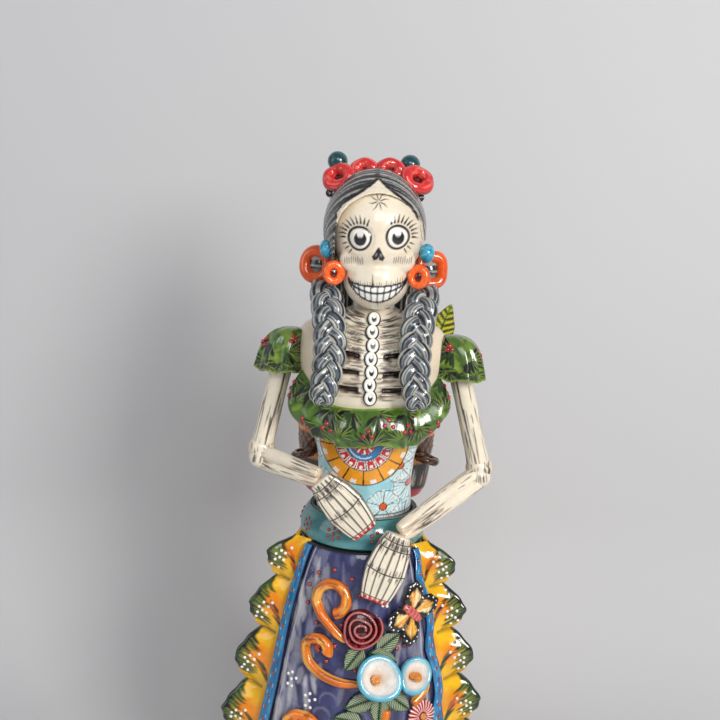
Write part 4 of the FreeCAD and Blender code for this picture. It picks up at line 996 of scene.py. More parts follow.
fly_across, fly_up, fly_out = skirt_axes(34.5, 251)
fly_seat = np.array([float(k) for k in on_skirt(34.5, 251, 7.6)])
lean = math.radians(-44)
body_way = fly_across * math.cos(lean) + fly_up * math.sin(lean)
wing_way = np.cross(fly_out, body_way)
wings, spots, normals = [], [], []
random.seed(91)
for side in (-1, 1):
    for fore in (-1, 1):
        reach = wing_way * side * 0.86 + body_way * fore * 0.5
        reach = unit(reach)
        tilted = fly_out + reach * -0.12
        tilted = unit(tilted)
        reach = reach - reach @ tilted * tilted
        reach = unit(reach)
        cross = np.cross(tilted, reach)
        centre = fly_seat + reach * 13.5 - fly_out * 0.6
        wing, local = lump(f"wing_{side}_{fore}", centre, [reach, cross, tilted], [14.2, 9.4, 2.6])
        angle = np.arctan2(local[:, 1], local[:, 0])
        round_off = np.hypot(local[:, 0], local[:, 1])
        move_to(wing, places(wing) + np.outer(0.7 * np.cos(angle * 6) * round_off, [0, 0, 0]) +
                (local * [13.2, 8.6, 0] * (0.06 * np.cos(angle * 7) * round_off)[:, None]) @ np.array([reach,
                        cross, tilted]))
        flat = local[:, :2] * [13.2, 8.6]
        paint = ground(len(flat), rgb(20, 17, 16))
        for stroke in range(11):
            turn = -1.15 + stroke * 0.23
            tip = np.array([9.2 * math.cos(turn) - 1.5, 6.6 * math.sin(turn) * 1.1])
            brush(paint, flat, [(-8, 0.5 * turn), tip * 0.5 - [3, 0], tip * 0.9], 0.95,
                  rgb(*random.choice([(244, 196, 92), (232, 150, 40), (250, 226, 170)])), feather=0.5,
                  land=0.5, lift=0.2)
        coat(wing, paint)
        wings.append(wing)
        for step in range(7):
            turn = -1.5 + step * 0.5
            spots.append(centre + reach * 11.4 * math.cos(turn) + cross * 7.4 * math.sin(turn) + tilted * 1.1)
            normals.append(tilted)
wing = join("butterfly_wing_set", wings)
fire(wing, "skirt", FLOWER_GLAZE, ["butterfly_wings"])
dabs("butterfly_dabs", spots, normals, 1.05, WHITE, "skirt")
pill, local = lump("butterfly_pill", fly_seat + fly_out * 0.9,
                   [body_way, np.cross(fly_out, body_way), fly_out], [12.0, 4.6, 3.8])
paint = ground(len(local), rgb(222, 112, 104))
wash(paint, np.clip(np.cos(local[:, 0] * 19) * 3 - 1.2, 0, 0.85), rgb(150, 26, 30))
wash(paint, np.clip((local[:, 0] - 0.8) * 12, 0, 1) + np.clip((-0.86 - local[:, 0]) * 12, 0, 1), BLACK)
coat(pill, paint)
fire(pill, "skirt", FLOWER_GLAZE, ["butterfly_body"])

# ---------------------------------------------------------------- calla lilies
# Two lilies wrapped from thin discs of clay, the lip drawn to a point. White inside with a thick light
# blue rim, and an orange finger with white dabs in the throat.
LILY_BLUE, MILK = rgb(84, 178, 204), rgb(244, 242, 236)
THROAT_SHADE = rgb(226, 214, 190)


def lily(name, foot, aim, toward, scale, squeeze=1.0, lip=0.26):
    """A lily from its foot along aim, with its lip drawn out toward one side."""
    aim = np.asarray(aim, float) / np.linalg.norm(aim)
    lip_way = np.asarray(toward, float) - np.asarray(toward, float) @ aim * aim
    lip_way = unit(lip_way)
    side = np.cross(aim, lip_way)

    def cup(a, u):
        turn = a * 2 * np.pi
        point = np.clip(np.cos(turn), 0, 1) ** 5
        reach = 3.1 + 12.9 * np.sin(u * np.pi / 2) ** 1.25 * (1 + lip * 0.72 * point * u)
        rise = 17.2 * u ** 0.8 - 3.4 * np.clip(u - 0.82, 0,
                1) / 0.18 + 1.4 * np.cos(turn * 2) * u ** 2 - 1.5 * point * u
        x, y = reach * np.cos(turn) * scale, reach * np.sin(turn) * scale * squeeze
        return (np.asarray(foot) + np.outer(rise * scale, aim) + np.outer(x, lip_way) + np.outer(y, side)).T

    bloom, across, up = clay_sheet(name, 96, 40, cup)
    alone(bloom)
    inside = -1.0
    paint = ground(len(up), MILK)
    # Painted shade: beige deepening towards the foot of the cup.
    wash(paint, np.clip((0.5 - up) * 1.5, 0, 0.55), THROAT_SHADE)
    wash(paint, np.clip((up - 0.775) * 16, 0, 1), LILY_BLUE)
    wash(paint, np.clip((up - 0.9) * 9, 0, 0.35) * (0.5 + 0.5 * np.sin(across * 60)), rgb(24, 96, 136))
    streaks = 0.5 + 0.5 * np.sin(across * 2 * np.pi * 31)
    wash(paint, np.clip((up - 0.55) * 1.2, 0, 0.4) * streaks * (up < 0.78), rgb(190, 214, 222))
    coat(bloom, paint)
    thicken(bloom, 2.3 * scale)
    return bloom


LILIES = {"left": (11.5, 197, 1.05, 1.0), "right": (31.5, 195, 0.9, 0.86)}
fingers, spots, normals = [], [], []
for hand, (degrees, level, scale, squeeze) in LILIES.items():
    flower_across, flower_up, flower_out = skirt_axes(degrees, level)
    aim = flower_out * 0.93 + flower_up * 0.36
    foot = np.array([float(k) for k in on_skirt(degrees, level, 2.6)])
    side = 1 if hand == "left" else -1
    bloom = lily(f"lily_{hand}_cup", foot, aim, flower_across * side * 0.75 - flower_up * 0.66, scale,
                 squeeze)
    fire(bloom, "skirt", GLAZE, [f"lily_{hand}"])
    aim = unit(aim)
    throat = foot + aim * 3
    bend = flower_across * (-2.6 * side)
    route = [throat, throat + aim * 4 + bend * 0.6, throat + aim * 8.5 - flower_up * 1.2 + bend,
             throat + aim * 12.0 - flower_up * 5.2]
    finger, across, up = clay_roll(f"lily_{hand}_finger", route, flower_up,
                                   lambda u: 3.3 * rounded(u, 0.2, 0.2), sides=16, rings=30)
    paint = ground(len(up), rgb(234, 142, 34))
    wash(paint, np.clip(np.sin(up * 20 + across * 12) - 0.5, 0, 0.5), rgb(180, 84, 14))
    coat(finger, paint)
    close_seams(finger)
    fingers.append(finger)
    for step in range(5):
        spots.append(along(route, np.array([0.45 + step * 0.11]))[0] + aim * 1.2 + flower_up
                     * (1.9 - 0.3 * step) + bend * 0.3)
        normals.append(aim + flower_up)
finger = join("lily_fingers", fingers)
fire(finger, "skirt", FLOWER_GLAZE, ["lily_spadices"])
dabs("lily_finger_dabs", spots, normals, 0.8, WHITE, "skirt")

# ---------------------------------------------------------------- bodice
# A hollow oval trunk, with the plug that stands in the waistband's socket. Painted in cells of
# orange, red and
# blue round one big roundel, over light blue flowers; every cell is outlined in black.
SKY, CELL_RED, CELL_BLUE = rgb(158, 214, 226), rgb(200, 24, 28), rgb(24, 118, 184)
CELL_ORANGE = rgb(242, 160, 26)
BODICE_SECTION = [

    (300.2, 42.2, 35.2, 0), (301, 42.8, 35.8, 0), (313, 42.9, 35.9, 0), (327, 42.6, 35.9, 0),
    (346, 41.4, 35.5, 0), (361, 42.2, 36.4, 0),
    (376, 43.8, 38, 0), (393, 48.5, 40.4, 0), (409.5, 53.7, 42.8, 0), (409.5, 49.5, 38.5, 0),
    (376, 37.8, 32, 0), (346, 35.4, 29.5, 0),
    (327, 36.6, 30, 0), (302, 37, 30, 0)]


def trunk(a, u):
    height, wide, deep, back = along(BODICE_SECTION, u ** 1.0, closed=True).T
    turn = closer(a)
    return wide * np.sin(turn), -deep * np.cos(turn), height


def closer(a):
    """A full turn from the back round the front, its points closer together in front."""
    s = a * 2 - 1
    return np.pi * (0.52 * s + 0.48 * s ** 3)


bodice, turn_share, section_share = clay_sheet("bodice_trunk", 290, 250, trunk)
spots = places(bodice)
outside = section_share < 0.6
flat = np.stack([spots[:, 0] * np.where(spots[:, 1] < 0, 1, -1), spots[:, 2]], 1)
paint = ground(len(flat), SKY)
centre = np.array([-2.4, 394.0])
away = np.linalg.norm(flat - centre, axis=1)
angle = np.degrees(np.arctan2(flat[:, 1] - centre[1], flat[:, 0] - centre[0])) % 360


def cells(count, phase):
    """How far each point lies from a cell's middle, as a share of the cell's width, and the cell's number."""
    place = angle / 360 * count + phase
    return np.abs(place % 1.0 - 0.5) * 2, np.floor(place)


random.seed(101)
for middle_x, middle_z in [(16.8, 335.8), (-19, 338), (39, 353), (-40, 350), (1, 316), (36, 322), (-34, 318),
                           (47, 384), (-47, 386), (30, 372)]:
    reach = np.linalg.norm(flat - [middle_x, middle_z], axis=1)
    turn = np.degrees(np.arctan2(flat[:, 1] - middle_z, flat[:, 0] - middle_x))
    wash(paint, (reach < 15.5) * np.clip(0.5 + 0.9 * np.sin(np.radians(turn) * 23 + reach * 0.15), 0, 0.85)
         * (reach > 3.4), WHITE)
    petals = 13.5 + 1.6 * np.abs(np.sin(np.radians(turn) * 4))
    wash(paint, np.clip(1.0 - np.abs(reach - petals) / 0.55, 0, 0.9), rgb(38, 60, 70))
    for spoke in range(5):
        lean = math.radians(spoke * 72 + 16)
        brush(paint, flat, [(middle_x + 3.4 * math.cos(lean), middle_z + 3.4 * math.sin(lean)),
                            (middle_x + 13 * math.cos(lean), middle_z + 13 * math.sin(lean))], 0.8,
                            rgb(38, 60, 70), feather=0.6)
    wash(paint, (reach < 3.7) * 1.0, BLACK)
    wash(paint, (reach < 2.9) * 1.0, rgb(226, 96, 50))
away = away * 0.965
inside = away < 37.4
wash(paint, inside * 1.0, WHITE)
edge, number = cells(13, 0.2)
wash(paint, (inside & (away > 24.6) & (edge < 0.93)) * 1.0, CELL_ORANGE)
wash(paint, (inside & (away > 33.0) & (edge < 0.3)) * 0.9, WHITE)
wash(paint, (inside & (away > 24.6) & (edge > 0.92)) * 1.0, BLACK)
edge, number = cells(15, 0.45)
wash(paint, ((away < 23.6) & (away > 15.6) & (edge < 0.72) & (np.abs(away - 19.6) < 3.5)) * 1.0, CELL_RED)
wash(paint, ((away < 23.6) & (away > 15.6) & (edge > 0.9)) * 1.0, BLACK)
dots = np.hypot((edge * away * math.pi / 15), away - 21.2)
wash(paint, (dots < 1.5) * 1.0, WHITE)
wash(paint, (away < 15.0) * 1.0, CELL_BLUE)
# Painted highlight: a white arc across the blue ring, low on the left.
wash(paint, ((np.abs(away - 12.9) < 0.5) & (angle > 200) & (angle < 300)) * 0.8, WHITE)
edge, number = cells(9, 0.1)
wash(paint, (away < 9.6) * 1.0, WHITE)
wash(paint, ((away < 9.2) & (edge < 0.75) & (away > 5)) * 1.0, np.array(CELL_RED))
wash(paint, ((away < 4.6)) * 1.0, CELL_ORANGE)
for radius in (4.8, 9.8, 15.3, 24.1, 37.2):
    wash(paint, np.clip(1.35 - np.abs(away - radius) / 0.55, 0, 1), BLACK)
wash(paint, np.clip(1.3 - np.abs(flat[:, 1] - 328.4) / 0.6, 0, 1), BLACK)
wash(paint, (~outside | (spots[:, 2] < 326)) * 1.0, BARE_CLAY)
coat(bodice, paint)
close_seams(bodice)
fire(bodice, "torso", GLAZE, ["bodice"])

# ---------------------------------------------------------------- chest and neck
# The hollow rib cage closes in to a neck tube. Cream slip with fine hatching brushed out sideways
# from the spine,
# and three pairs of slots cut between the ribs.
BONE, SHADE_TAN, INK = rgb(238, 226, 204), rgb(212, 182, 148), rgb(34, 28, 26)
BONE_GLAZE = painted_glaze("bone_glaze", mottle=0.06, cloud=26.0, crackle=0.05, roughness=0.3, ripple=0.18)
SLOTS = [(471.0, 9.0), (456.5, 5.0), (442.0, 1.0)]
chest_rows = [(410.2, 53.8, 42.8), (430.5, 58.7, 45.0), (454.6, 64.6, 44.1), (474.2, 65.7, 37.6),
              (488.1, 59.2, 29.9),
              (497.4, 42.0, 24.0), (503, 24.8, 20.1), (506.5, 17.6, 17.6)]


def rib_cage(a, u):
    height, wide, deep = along(chest_rows, u).T
    turn = closer(a)
    x, y = wide * np.sin(turn), -deep * np.cos(turn)
    sunk = np.zeros(len(a))
    for level, slant in SLOTS:
        rise = level + (np.abs(x) - 22) * math.tan(math.radians(slant))
        across = np.clip((12.5 - np.abs(np.abs(x) - 22)) / 1.5, 0, 1)
        sunk = np.maximum(sunk, across * np.clip((2.0 - np.abs(height - rise)) / 0.9 + 0.5, 0, 1) * (y < 0))
    return x * (1 - sunk * 0.04), y + sunk * 4.4, height


cage, turn_share, up = clay_sheet("rib_cage_shell", 280, 140, rib_cage)
spots = places(cage)
front = spots[:, 1] < 6
flat = np.stack([spots[:, 0], spots[:, 2]], 1)
paint = ground(len(flat), BONE)
# Painted shade: tan towards the sides of the chest.
wash(paint, np.clip((np.abs(spots[:, 0]) - 30) / 40, 0, 0.35) * front, SHADE_TAN)
random.seed(111)
front_paint, where = paint.copy(), flat
for stroke in range(330):
    side = random.choice([-1, 1])
    level = between(434, 503)
    climb = (level - 445) / 58
    start = side * between(4.5, 12) if stroke % 3 else side * between(14, 28)
    length = between(5, 17)
    rise = length * (0.02 + 0.30 * climb) * between(0.6, 1.2)
    tone = random.choice([INK, INK, rgb(84, 66, 54), rgb(60, 50, 46)])
    brush(front_paint, where, [(start, level), (start + side * length / 2, level + rise * 0.35),
                               (start + side * length, level + rise)],
          between(0.6, 1.0), tone, feather=0.5, load=0.85, land=0.2, lift=0.7)
# Painted shade: soft tan bands along the ribs.
for level in (435.5, 449, 463.5, 478.5, 490):
    for side in (-1, 1):
        brush(front_paint, where, [(side * 5, level), (side * 20, level + 0.6), (side * 36, level + 2.5)],
              1.6, SHADE_TAN, feather=2, load=0.6)
paint[front] = front_paint[front]
# Painted shade: the slots are sunk only a little and painted dark brown, as the dark inside of open slots.
for level, slant in SLOTS:
    rise = level + (np.abs(spots[:, 0]) - 22) * math.tan(math.radians(slant))
    across = np.clip((12.5 - np.abs(np.abs(spots[:, 0]) - 22)) / 1.2, 0, 1)
    wash(paint, across * np.clip((2.3 - np.abs(spots[:, 2] - rise)) / 0.7 + 0.3, 0, 1) * front,
         rgb(44, 20, 16))
back_paint = paint.copy()
for rib in range(7):
    level = 430 + rib * 9.5
    for side in (-1, 1):
        brush(back_paint, where, [(side * 5, level + 3), (side * 28, level), (side * 52, level - 7)], 1.8,
              INK, feather=0.9, load=0.85)
        for tick in range(26):
            start = between(6, 50)
            brush(back_paint, where, [(side * start, level + 4.5 - start * 0.14),
                                      (side * (start + 7), level + 4 - start * 0.16)], 0.8, INK, feather=0.7,
                                      load=0.7)
back = spots[:, 1] > 6
paint[back] = back_paint[back]
coat(cage, paint)
thicken(cage, 4.0)
fire(cage, "torso", BONE_GLAZE, ["chest"])

neck, turn_share, section_share = oval_ring("neck_tube", 120, 90, [
    (482, 17.4, 17.4, 0), (490, 17.8, 17.8, 0), (510, 17.8, 17.8, 0), (530, 17.8, 17.8, 0),
    (542, 17.6, 17.6, 0),
    (542, 11.5, 11.5, 0), (512, 11.2, 11.2, 0), (483, 11.4, 11.4, 0)])
spots = places(neck)
flat = np.stack([spots[:, 0], spots[:, 2]], 1)
paint = ground(len(flat), BONE)
for stroke in range(170):
    side, level, start = random.choice([-1, 1]), between(484, 540), between(3.5, 10)
    brush(paint, flat, [(side * start, level), (side * (start + between(3, 7)), level + between(0, 2))], 0.8,
          INK, feather=0.7, load=0.8)
coat(neck, paint)
close_seams(neck)
fire(neck, "torso", BONE_GLAZE, ["neck"])

# ---------------------------------------------------------------- spine
# Seven small oval links luted down the breastbone, white with a black heart and a black outline.
LINKS = [(-24.5, 499), (-30.5, 489), (-36, 478.5), (-40.7, 468), (-43.8, 457.5), (-45.8, 447), (-46.6, 436.5)]
links = []
for number, (y, level) in enumerate(LINKS):
    lower = LINKS[min(number + 1, 6)]
    upper = LINKS[max(number - 1, 0)]
    hang = np.array([0.0, upper[0] - lower[0], upper[1] - lower[1]])
    hang = unit(hang)
    face = np.cross(hang, [-1.0, 0, 0])
    face *= -np.sign(face[1]) if face[1] else 1
    at = np.array([-0.6 if number % 2 else 0.4, y, level])
    heart, local = lump(f"link_heart_{number}", at, [[1, 0, 0], hang, face], [6.0, 7.2, 2.2], detail=3)
    coat(heart, ground(len(local), INK))
    turns = np.linspace(0, 2 * np.pi, 16, endpoint=False)
    route = at + face * 1.6 + np.outer(3.3 * np.cos(turns), [1, 0, 0]) + np.outer(4.6 * np.sin(turns), hang)
    ring, across, up = clay_roll(f"link_ring_{number}", route[::-1], face, lambda u: 1.55 + 0 * u, sides=14,
                                 rings=48, closed=True)
    paint = ground(len(up), WHITE)
    wash(paint, np.clip(np.cos(across * 2 * np.pi) * 3 - 1.2, 0, 1), INK)
    coat(ring, paint)
    close_seams(ring)
    lug, local = lump(f"link_lug_{number}", at + face * 1.5 + hang * 1.6, [[1, 0, 0], hang, face],
                      [1.7, 2.0, 1.2], detail=3)
    paint = ground(len(local), WHITE)
    coat(lug, paint)
    links += [heart, ring, lug]
spine = join("spine_links", links)
fire(spine, "torso", BONE_GLAZE, ["spine_beads"])

# ---------------------------------------------------------------- skull
# Cranium and jaw pressed from two bowls and smoothed into one. The eyes stand out a little, the
# rest is drawn with a
# fine brush: lashes, nose, two rows of teeth, a small star on the brow.
def luted(name, forms, voxel, rubs):
    """Forms pressed together, smoothed with a wet sponge."""
    mass = join(name, forms)
    alone(mass)
    remesh = mass.modifiers.new("clay", "REMESH")
    remesh.mode, remesh.voxel_size = "VOXEL", voxel * MM
    rub = mass.modifiers.new("sponge", "SMOOTH")
    rub.iterations, rub.factor = rubs, 0.5
    return settle(mass)


def from_part(node, name, voxel, rubs):
    """A wet-smoothed copy of the plain part, its edges rubbed round."""
    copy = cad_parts[node].copy()
    copy.data = copy.data.copy()
    bpy.context.collection.objects.link(copy)
    copy.parent = None
    copy.matrix_world = Matrix.Identity(4)
    for key in list(copy.keys()):
        del copy[key]
    copy.name = name
    copy.data.materials.clear()
    alone(copy)
    bpy.ops.object.mode_set(mode="EDIT")
    bpy.ops.mesh.select_all(action="SELECT")
    bpy.ops.mesh.remove_doubles(threshold=0.000002)
    bpy.ops.object.mode_set(mode="OBJECT")
    return luted(name, [copy], voxel, rubs)


HAIR_DARK, HAIR_LIGHT = rgb(46, 46, 48), rgb(176, 174, 168)


def comb(angle, along_way, seed, fine=1.0):
    """Uneven comb marks as a height from 0 to 1 across an angle, drifting slowly along the strand."""
    generator = np.random.default_rng(seed)
    marks = np.zeros(len(angle))
    for rate, weight in ((38, 1.0), (61, 0.9), (97, 0.75), (150, 0.5)):
        phase, drift = generator.uniform(0, 6.28), generator.uniform(-0.05, 0.05)
        marks += weight * np.sin(angle * rate * fine + phase + np.sin(along_way * drift + phase) * 1.3)
    return np.clip(0.5 + marks / 3.2, 0, 1)


UPRIGHT = np.eye(3)
forms = [lump("cranium", (0, -8, 573), UPRIGHT, [39.8, 43.8, 45.8])[0],
         lump("jaw", (0.6, -21, 533), UPRIGHT, [27.8, 27.6, 26])[0],
         lump("cheek_left", (-19, -33.5, 550), UPRIGHT, [12, 7, 11])[0],
         lump("cheek_right", (20, -33.5, 551), UPRIGHT, [12, 7, 11])[0],
         lump("muzzle", (1.5, -32, 535), UPRIGHT, [22, 14, 18])[0],
         lump("nose_bone", (0.8, -46, 559), UPRIGHT, [6.5, 4.5, 9])[0]]
skull = luted("skull_bone", forms, 0.85, 40)
spots = places(skull)
EYES = [(-14.8, 569.0), (15.7, 571.4)]
looks = outward(skull)
push = np.zeros(len(spots))
for x, z in EYES:
    reach = np.hypot(spots[:, 0] - x, spots[:, 2] - z)
    push += np.where(spots[:, 1] < 0, 1.3 * np.clip(1 - (reach / 9.0) ** 2, 0, 1) - 1.0
                     * np.exp(-((reach - 10.5) / 1.6) ** 2), 0)
move_to(skull, spots + looks * push[:, None])
spots = places(skull)
front = spots[:, 1] < -6
flat = np.stack([spots[:, 0], spots[:, 2]], 1)
paint = ground(len(flat), BONE)
# Painted shade: tan towards the sides of the face, and soft tan patches between the eyes, beside the nose, on
# the cheeks and under the nose.
wash(paint, np.clip((np.abs(flat[:, 0]) - 14) / 40, 0, 0.4), rgb(222, 200, 172))
for x, z in [(0, 580), (-7, 560), (8, 562), (-24, 556), (25, 558), (0, 545)]:
    wash(paint, np.exp(-((flat[:, 0] - x) ** 2 + (flat[:, 1] - z) ** 2) / 60.0) * 0.22, SHADE_TAN)
face = paint.copy()
for number, (x, z) in enumerate(EYES):
    side = -1 if number == 0 else 1
    reach = np.hypot((flat[:, 0] - x) / 0.97, flat[:, 1] - z)
    wash(face, np.clip((9.6 - reach) / 0.6, 0, 1), rgb(246, 240, 230))
    wash(face, np.clip(1.9 - np.abs(reach - 9.3 - 0.25
                                    * np.sin(np.arctan2(flat[:, 1] - z, flat[:, 0] - x) * 3 + number)) / 0.75,
                                    0, 1), BLACK)
    iris = np.hypot((flat[:, 0] - x - 0.4) / 1.0, (flat[:, 1] - z + 0.4) / 1.12)
    wash(face, np.clip((5.3 - iris) / 0.5, 0, 1), BLACK)
    glint = np.hypot((flat[:, 0] - x - 0.2) / 1.0, (flat[:, 1] - z - 3.6) / 1.25)
    wash(face, np.clip((2.8 - glint) / 0.5, 0, 1), rgb(236, 232, 226))
    # Painted reflection: a grey crescent across each eye.
    eye_reflection = np.hypot((flat[:, 0] - x - 0.2) / 2.3, (flat[:, 1] - z - 0.9) / 1.0)
    wash(face, np.clip((1.0 - eye_reflection) / 0.4, 0, 0.85), rgb(140, 140, 142))
    for lash in range(10):
        turn = math.radians(62 + lash * 13.2) if side < 0 else math.radians(118 - lash * 13.2)
        root = np.array([x, z]) + 11.4 * np.array([math.cos(turn), math.sin(turn)])
        reach_out = 7.2 if 1 < lash < 8 else 6.0
        tip = np.array([x, z]) + (11.4 + reach_out) * np.array([math.cos(turn - side * 0.07),
                math.sin(turn - side * 0.07)])
        middle = (root + tip) / 2 + [0.0, 0.5]
        brush(face, flat, [root, middle, tip], 1.7, INK, land=0.1, lift=0.85, feather=0.5)
    for lash in range(3):
        turn = math.radians(204 + lash * 17) if side < 0 else math.radians(-24 - lash * 17)
        root = np.array([x, z]) + 11.2 * np.array([math.cos(turn), math.sin(turn)])
        tip = np.array([x, z]) + 16.0 * np.array([math.cos(turn), math.sin(turn)])
        brush(face, flat, [root, tip], 1.4, INK, land=0.1, lift=0.85, feather=0.5)
for foot in ((-2.4, 552.6), (4.4, 552.2)):
    brush(face, flat, [foot, ((foot[0] + 0.9) / 2, 556.4), (0.9, 562.6)], 5.2, BLACK, land=0.12, lift=0.95,
          feather=0.6)
    # Painted highlight: a grey glint on each nostril.
    brush(face, flat, [(foot[0] * 0.7 + 0.3, 555), (foot[0] * 0.4 + 0.6, 558)], 1.2, rgb(150, 148, 146),
          feather=0.6, load=0.8)
random.seed(121)
for x, z in ((-19.5, 550), (21.2, 552)):
    for tick in range(9):
        at = x - 7 + tick * 1.8
        brush(face, flat, [(at, z + 3 + between(-1, 1)), (at + 0.6 * (1 if x < 0 else -1), z - 3.2)], 0.9,
              rgb(84, 82, 82), feather=0.6, load=0.8)
MOUTH_MIDDLE, MOUTH_HALF = 1.8, 24.2
share = (flat[:, 0] - MOUTH_MIDDLE) / MOUTH_HALF
upper_lip = 530.6 + 3.2 * np.abs(share) ** 2.2 + share * 1.1
bite = 524.6 + 8.2 * np.abs(share) ** 2.0 + share * 1.1
lower_lip = 516.6 + 15.6 * np.abs(share) ** 2.1 + share * 1.1
within = (np.abs(share) < 1.0) & (flat[:, 1] < upper_lip + 0.6) & (flat[:, 1] > lower_lip - 0.6)
wash(face, within * 1.0, rgb(248, 246, 240))
gaps = MOUTH_MIDDLE + MOUTH_HALF * np.sin(np.linspace(-1.32, 1.32, 13))
for gap in gaps:
    wash(face, within * np.clip(1.3 - np.abs(flat[:, 0] - gap - (flat[:, 1] - 524) * 0.015
                                             * (gap - 2)) / 0.62, 0, 1), BLACK)
nearest = np.abs(flat[:, 0][:, None] - gaps[None, :]).min(1)
for line in (upper_lip, bite, lower_lip):
    gap = np.abs(flat[:, 1] - line)
    wash(face, within * np.clip(1.5 - gap / 0.85, 0, 1), BLACK)
    wash(face, within * np.clip(1.0 - (gap / 2.2 + nearest / 2.2), 0, 1) * 2, BLACK)
for side in (-1, 1):
    corner = (MOUTH_MIDDLE + side * 23.2, 533.6 + side * 1.2)
    brush(face, flat, [(corner[0] - side * 3, corner[1] - 2.0), corner,
                       (corner[0] + side * 1.5, corner[1] + 3.4)], 2.6, BLACK, feather=0.7)
for tick in range(24):
    x = -20 + tick * 1.9
    part = (x - MOUTH_MIDDLE) / MOUTH_HALF
    top = 530.6 + 3.2 * abs(part) ** 2.2 + part * 1.1
    base = 516.6 + 15.6 * abs(part) ** 2.1 + part * 1.1
    brush(face, flat, [(x, top), (x + between(-0.5, 0.5), top + between(2.2, 5.0))], 0.75, INK, land=0.05,
          lift=0.9, feather=0.5, load=0.85)
    if abs(part) < 0.8:
        brush(face, flat, [(x, base), (x + between(-0.5, 0.5), base - between(1.6, 3.2))], 0.75, INK,
              land=0.05, lift=0.9, feather=0.5, load=0.85)
brush(face, flat, [(-2.4, 529), (-2.8, 540)], 1.3, INK, land=0.05, lift=0.8, feather=0.5)
brush(face, flat, [(2.4, 517), (2.8, 511)], 0.9, INK, land=0.05, lift=0.8, feather=0.5)
for ray in range(8):
    turn = math.radians(ray * 45 + 12)
    way = np.array([math.cos(turn), math.sin(turn)])
    start = np.array([-0.9, 599.0])
    bend = np.array([-way[1], way[0]]) * 0.8
    brush(face, flat, [start + way * 0.8, start + way * 5 + bend, start + way * 8.4], 0.95, rgb(70, 56, 50),
          feather=0.5, lift=0.6)
paint[front] = face[front]
hairline = np.interp(flat[:, 0], [-38, -33, -18.4, -8, -3, 1.5, 6, 16, 30, 35, 39],
                     [566, 588, 600.5, 609, 615, 613, 609, 603, 593.5, 584, 566])
angle = np.arctan2(spots[:, 2] - 538, -(spots[:, 1] - 8))
marks = comb(angle, spots[:, 0], 5, 1.5)
under_hair = np.clip((flat[:, 1] - hairline) / 0.6 + 0.5, 0, 1) * front
wash(paint, under_hair, HAIR_DARK)
wash(paint, under_hair * np.clip((marks - 0.58) * 4.0, 0, 0.9), HAIR_LIGHT)
wash(paint, np.clip(1.5 - np.abs(flat[:, 1] - hairline - 1.3) / 1.0, 0, 1) * front
     * (np.abs(flat[:, 0]) < 40), BLACK)
move_to(skull, spots + outward(skull) * (under_hair * 1.1)[:, None])
coat(skull, paint)
fire(skull, "torso", BONE_GLAZE, ["skull"])

# ---------------------------------------------------------------- hair
# A cap of clay over the skull, parted in the middle and scored with a comb from the parting round
# to the ears, with
# a flat fall down the back. Nearly black glaze rubbed off the ridges.
cap = from_part("hair", "hair_cap", 1.12, 4)
spots, looks = places(cap), outward(cap)
angle = np.arctan2(spots[:, 2] - 538, -(spots[:, 1] - 8))
marks = comb(angle, spots[:, 0], 5, 1.5)
ridge = 0.5 * (marks - 0.5)
move_to(cap, spots + looks * ridge[:, None])
paint = ground(len(spots), HAIR_DARK)
wash(paint, np.clip((marks - 0.58) * 4.0, 0, 0.9), HAIR_LIGHT)
wash(paint, np.clip((0.34 - marks) * 4, 0, 0.95), BLACK)
line_height = np.interp(np.abs(spots[:, 0] + 2.0), [0, 5, 10, 19, 28, 34],
                        [616, 611.5, 607.5, 601.5, 594.5, 585])
bare = (spots[:, 1] < -10) * (np.abs(spots[:, 0]) < 34) * np.clip((line_height - spots[:, 2]) / 0.8, 0, 1)
wash(paint, bare, BONE)
edge = (spots[:, 1] < -10) * (np.abs(spots[:, 0]) < 36) * np.clip(1.8
        - np.abs(line_height + 1.0 - spots[:, 2]) / 1.0, 0, 1)
wash(paint, edge, BLACK)
parting = np.abs(spots[:, 0] + 3.0)
wash(paint, np.clip((2.3 - parting) / 0.7, 0, 1)
     * (spots[:, 2] > np.where(spots[:, 1] < -10, line_height, 590)), BLACK)
coat(cap, paint)
HAIR_GLAZE = painted_glaze("hair_glaze", mottle=0.12, cloud=12.0, roughness=0.2, ripple=0.2)
fire(cap, "torso", HAIR_GLAZE, ["hair"])

fall = from_part("hair_fall", "hair_fall_slab", 1.1, 3)
spots, looks = places(fall), outward(fall)
marks = comb(spots[:, 0] / 42, spots[:, 2], 6)
move_to(fall, spots + looks * (0.5 * (marks - 0.6))[:, None])
paint = ground(len(spots), HAIR_DARK)
wash(paint, np.clip((marks - 0.66) * 3, 0, 0.8), HAIR_LIGHT)
wash(paint, np.clip((0.4 - marks) * 5, 0, 0.95), BLACK)
coat(fall, paint)
fire(fall, "torso", HAIR_GLAZE, ["hair_fall"])

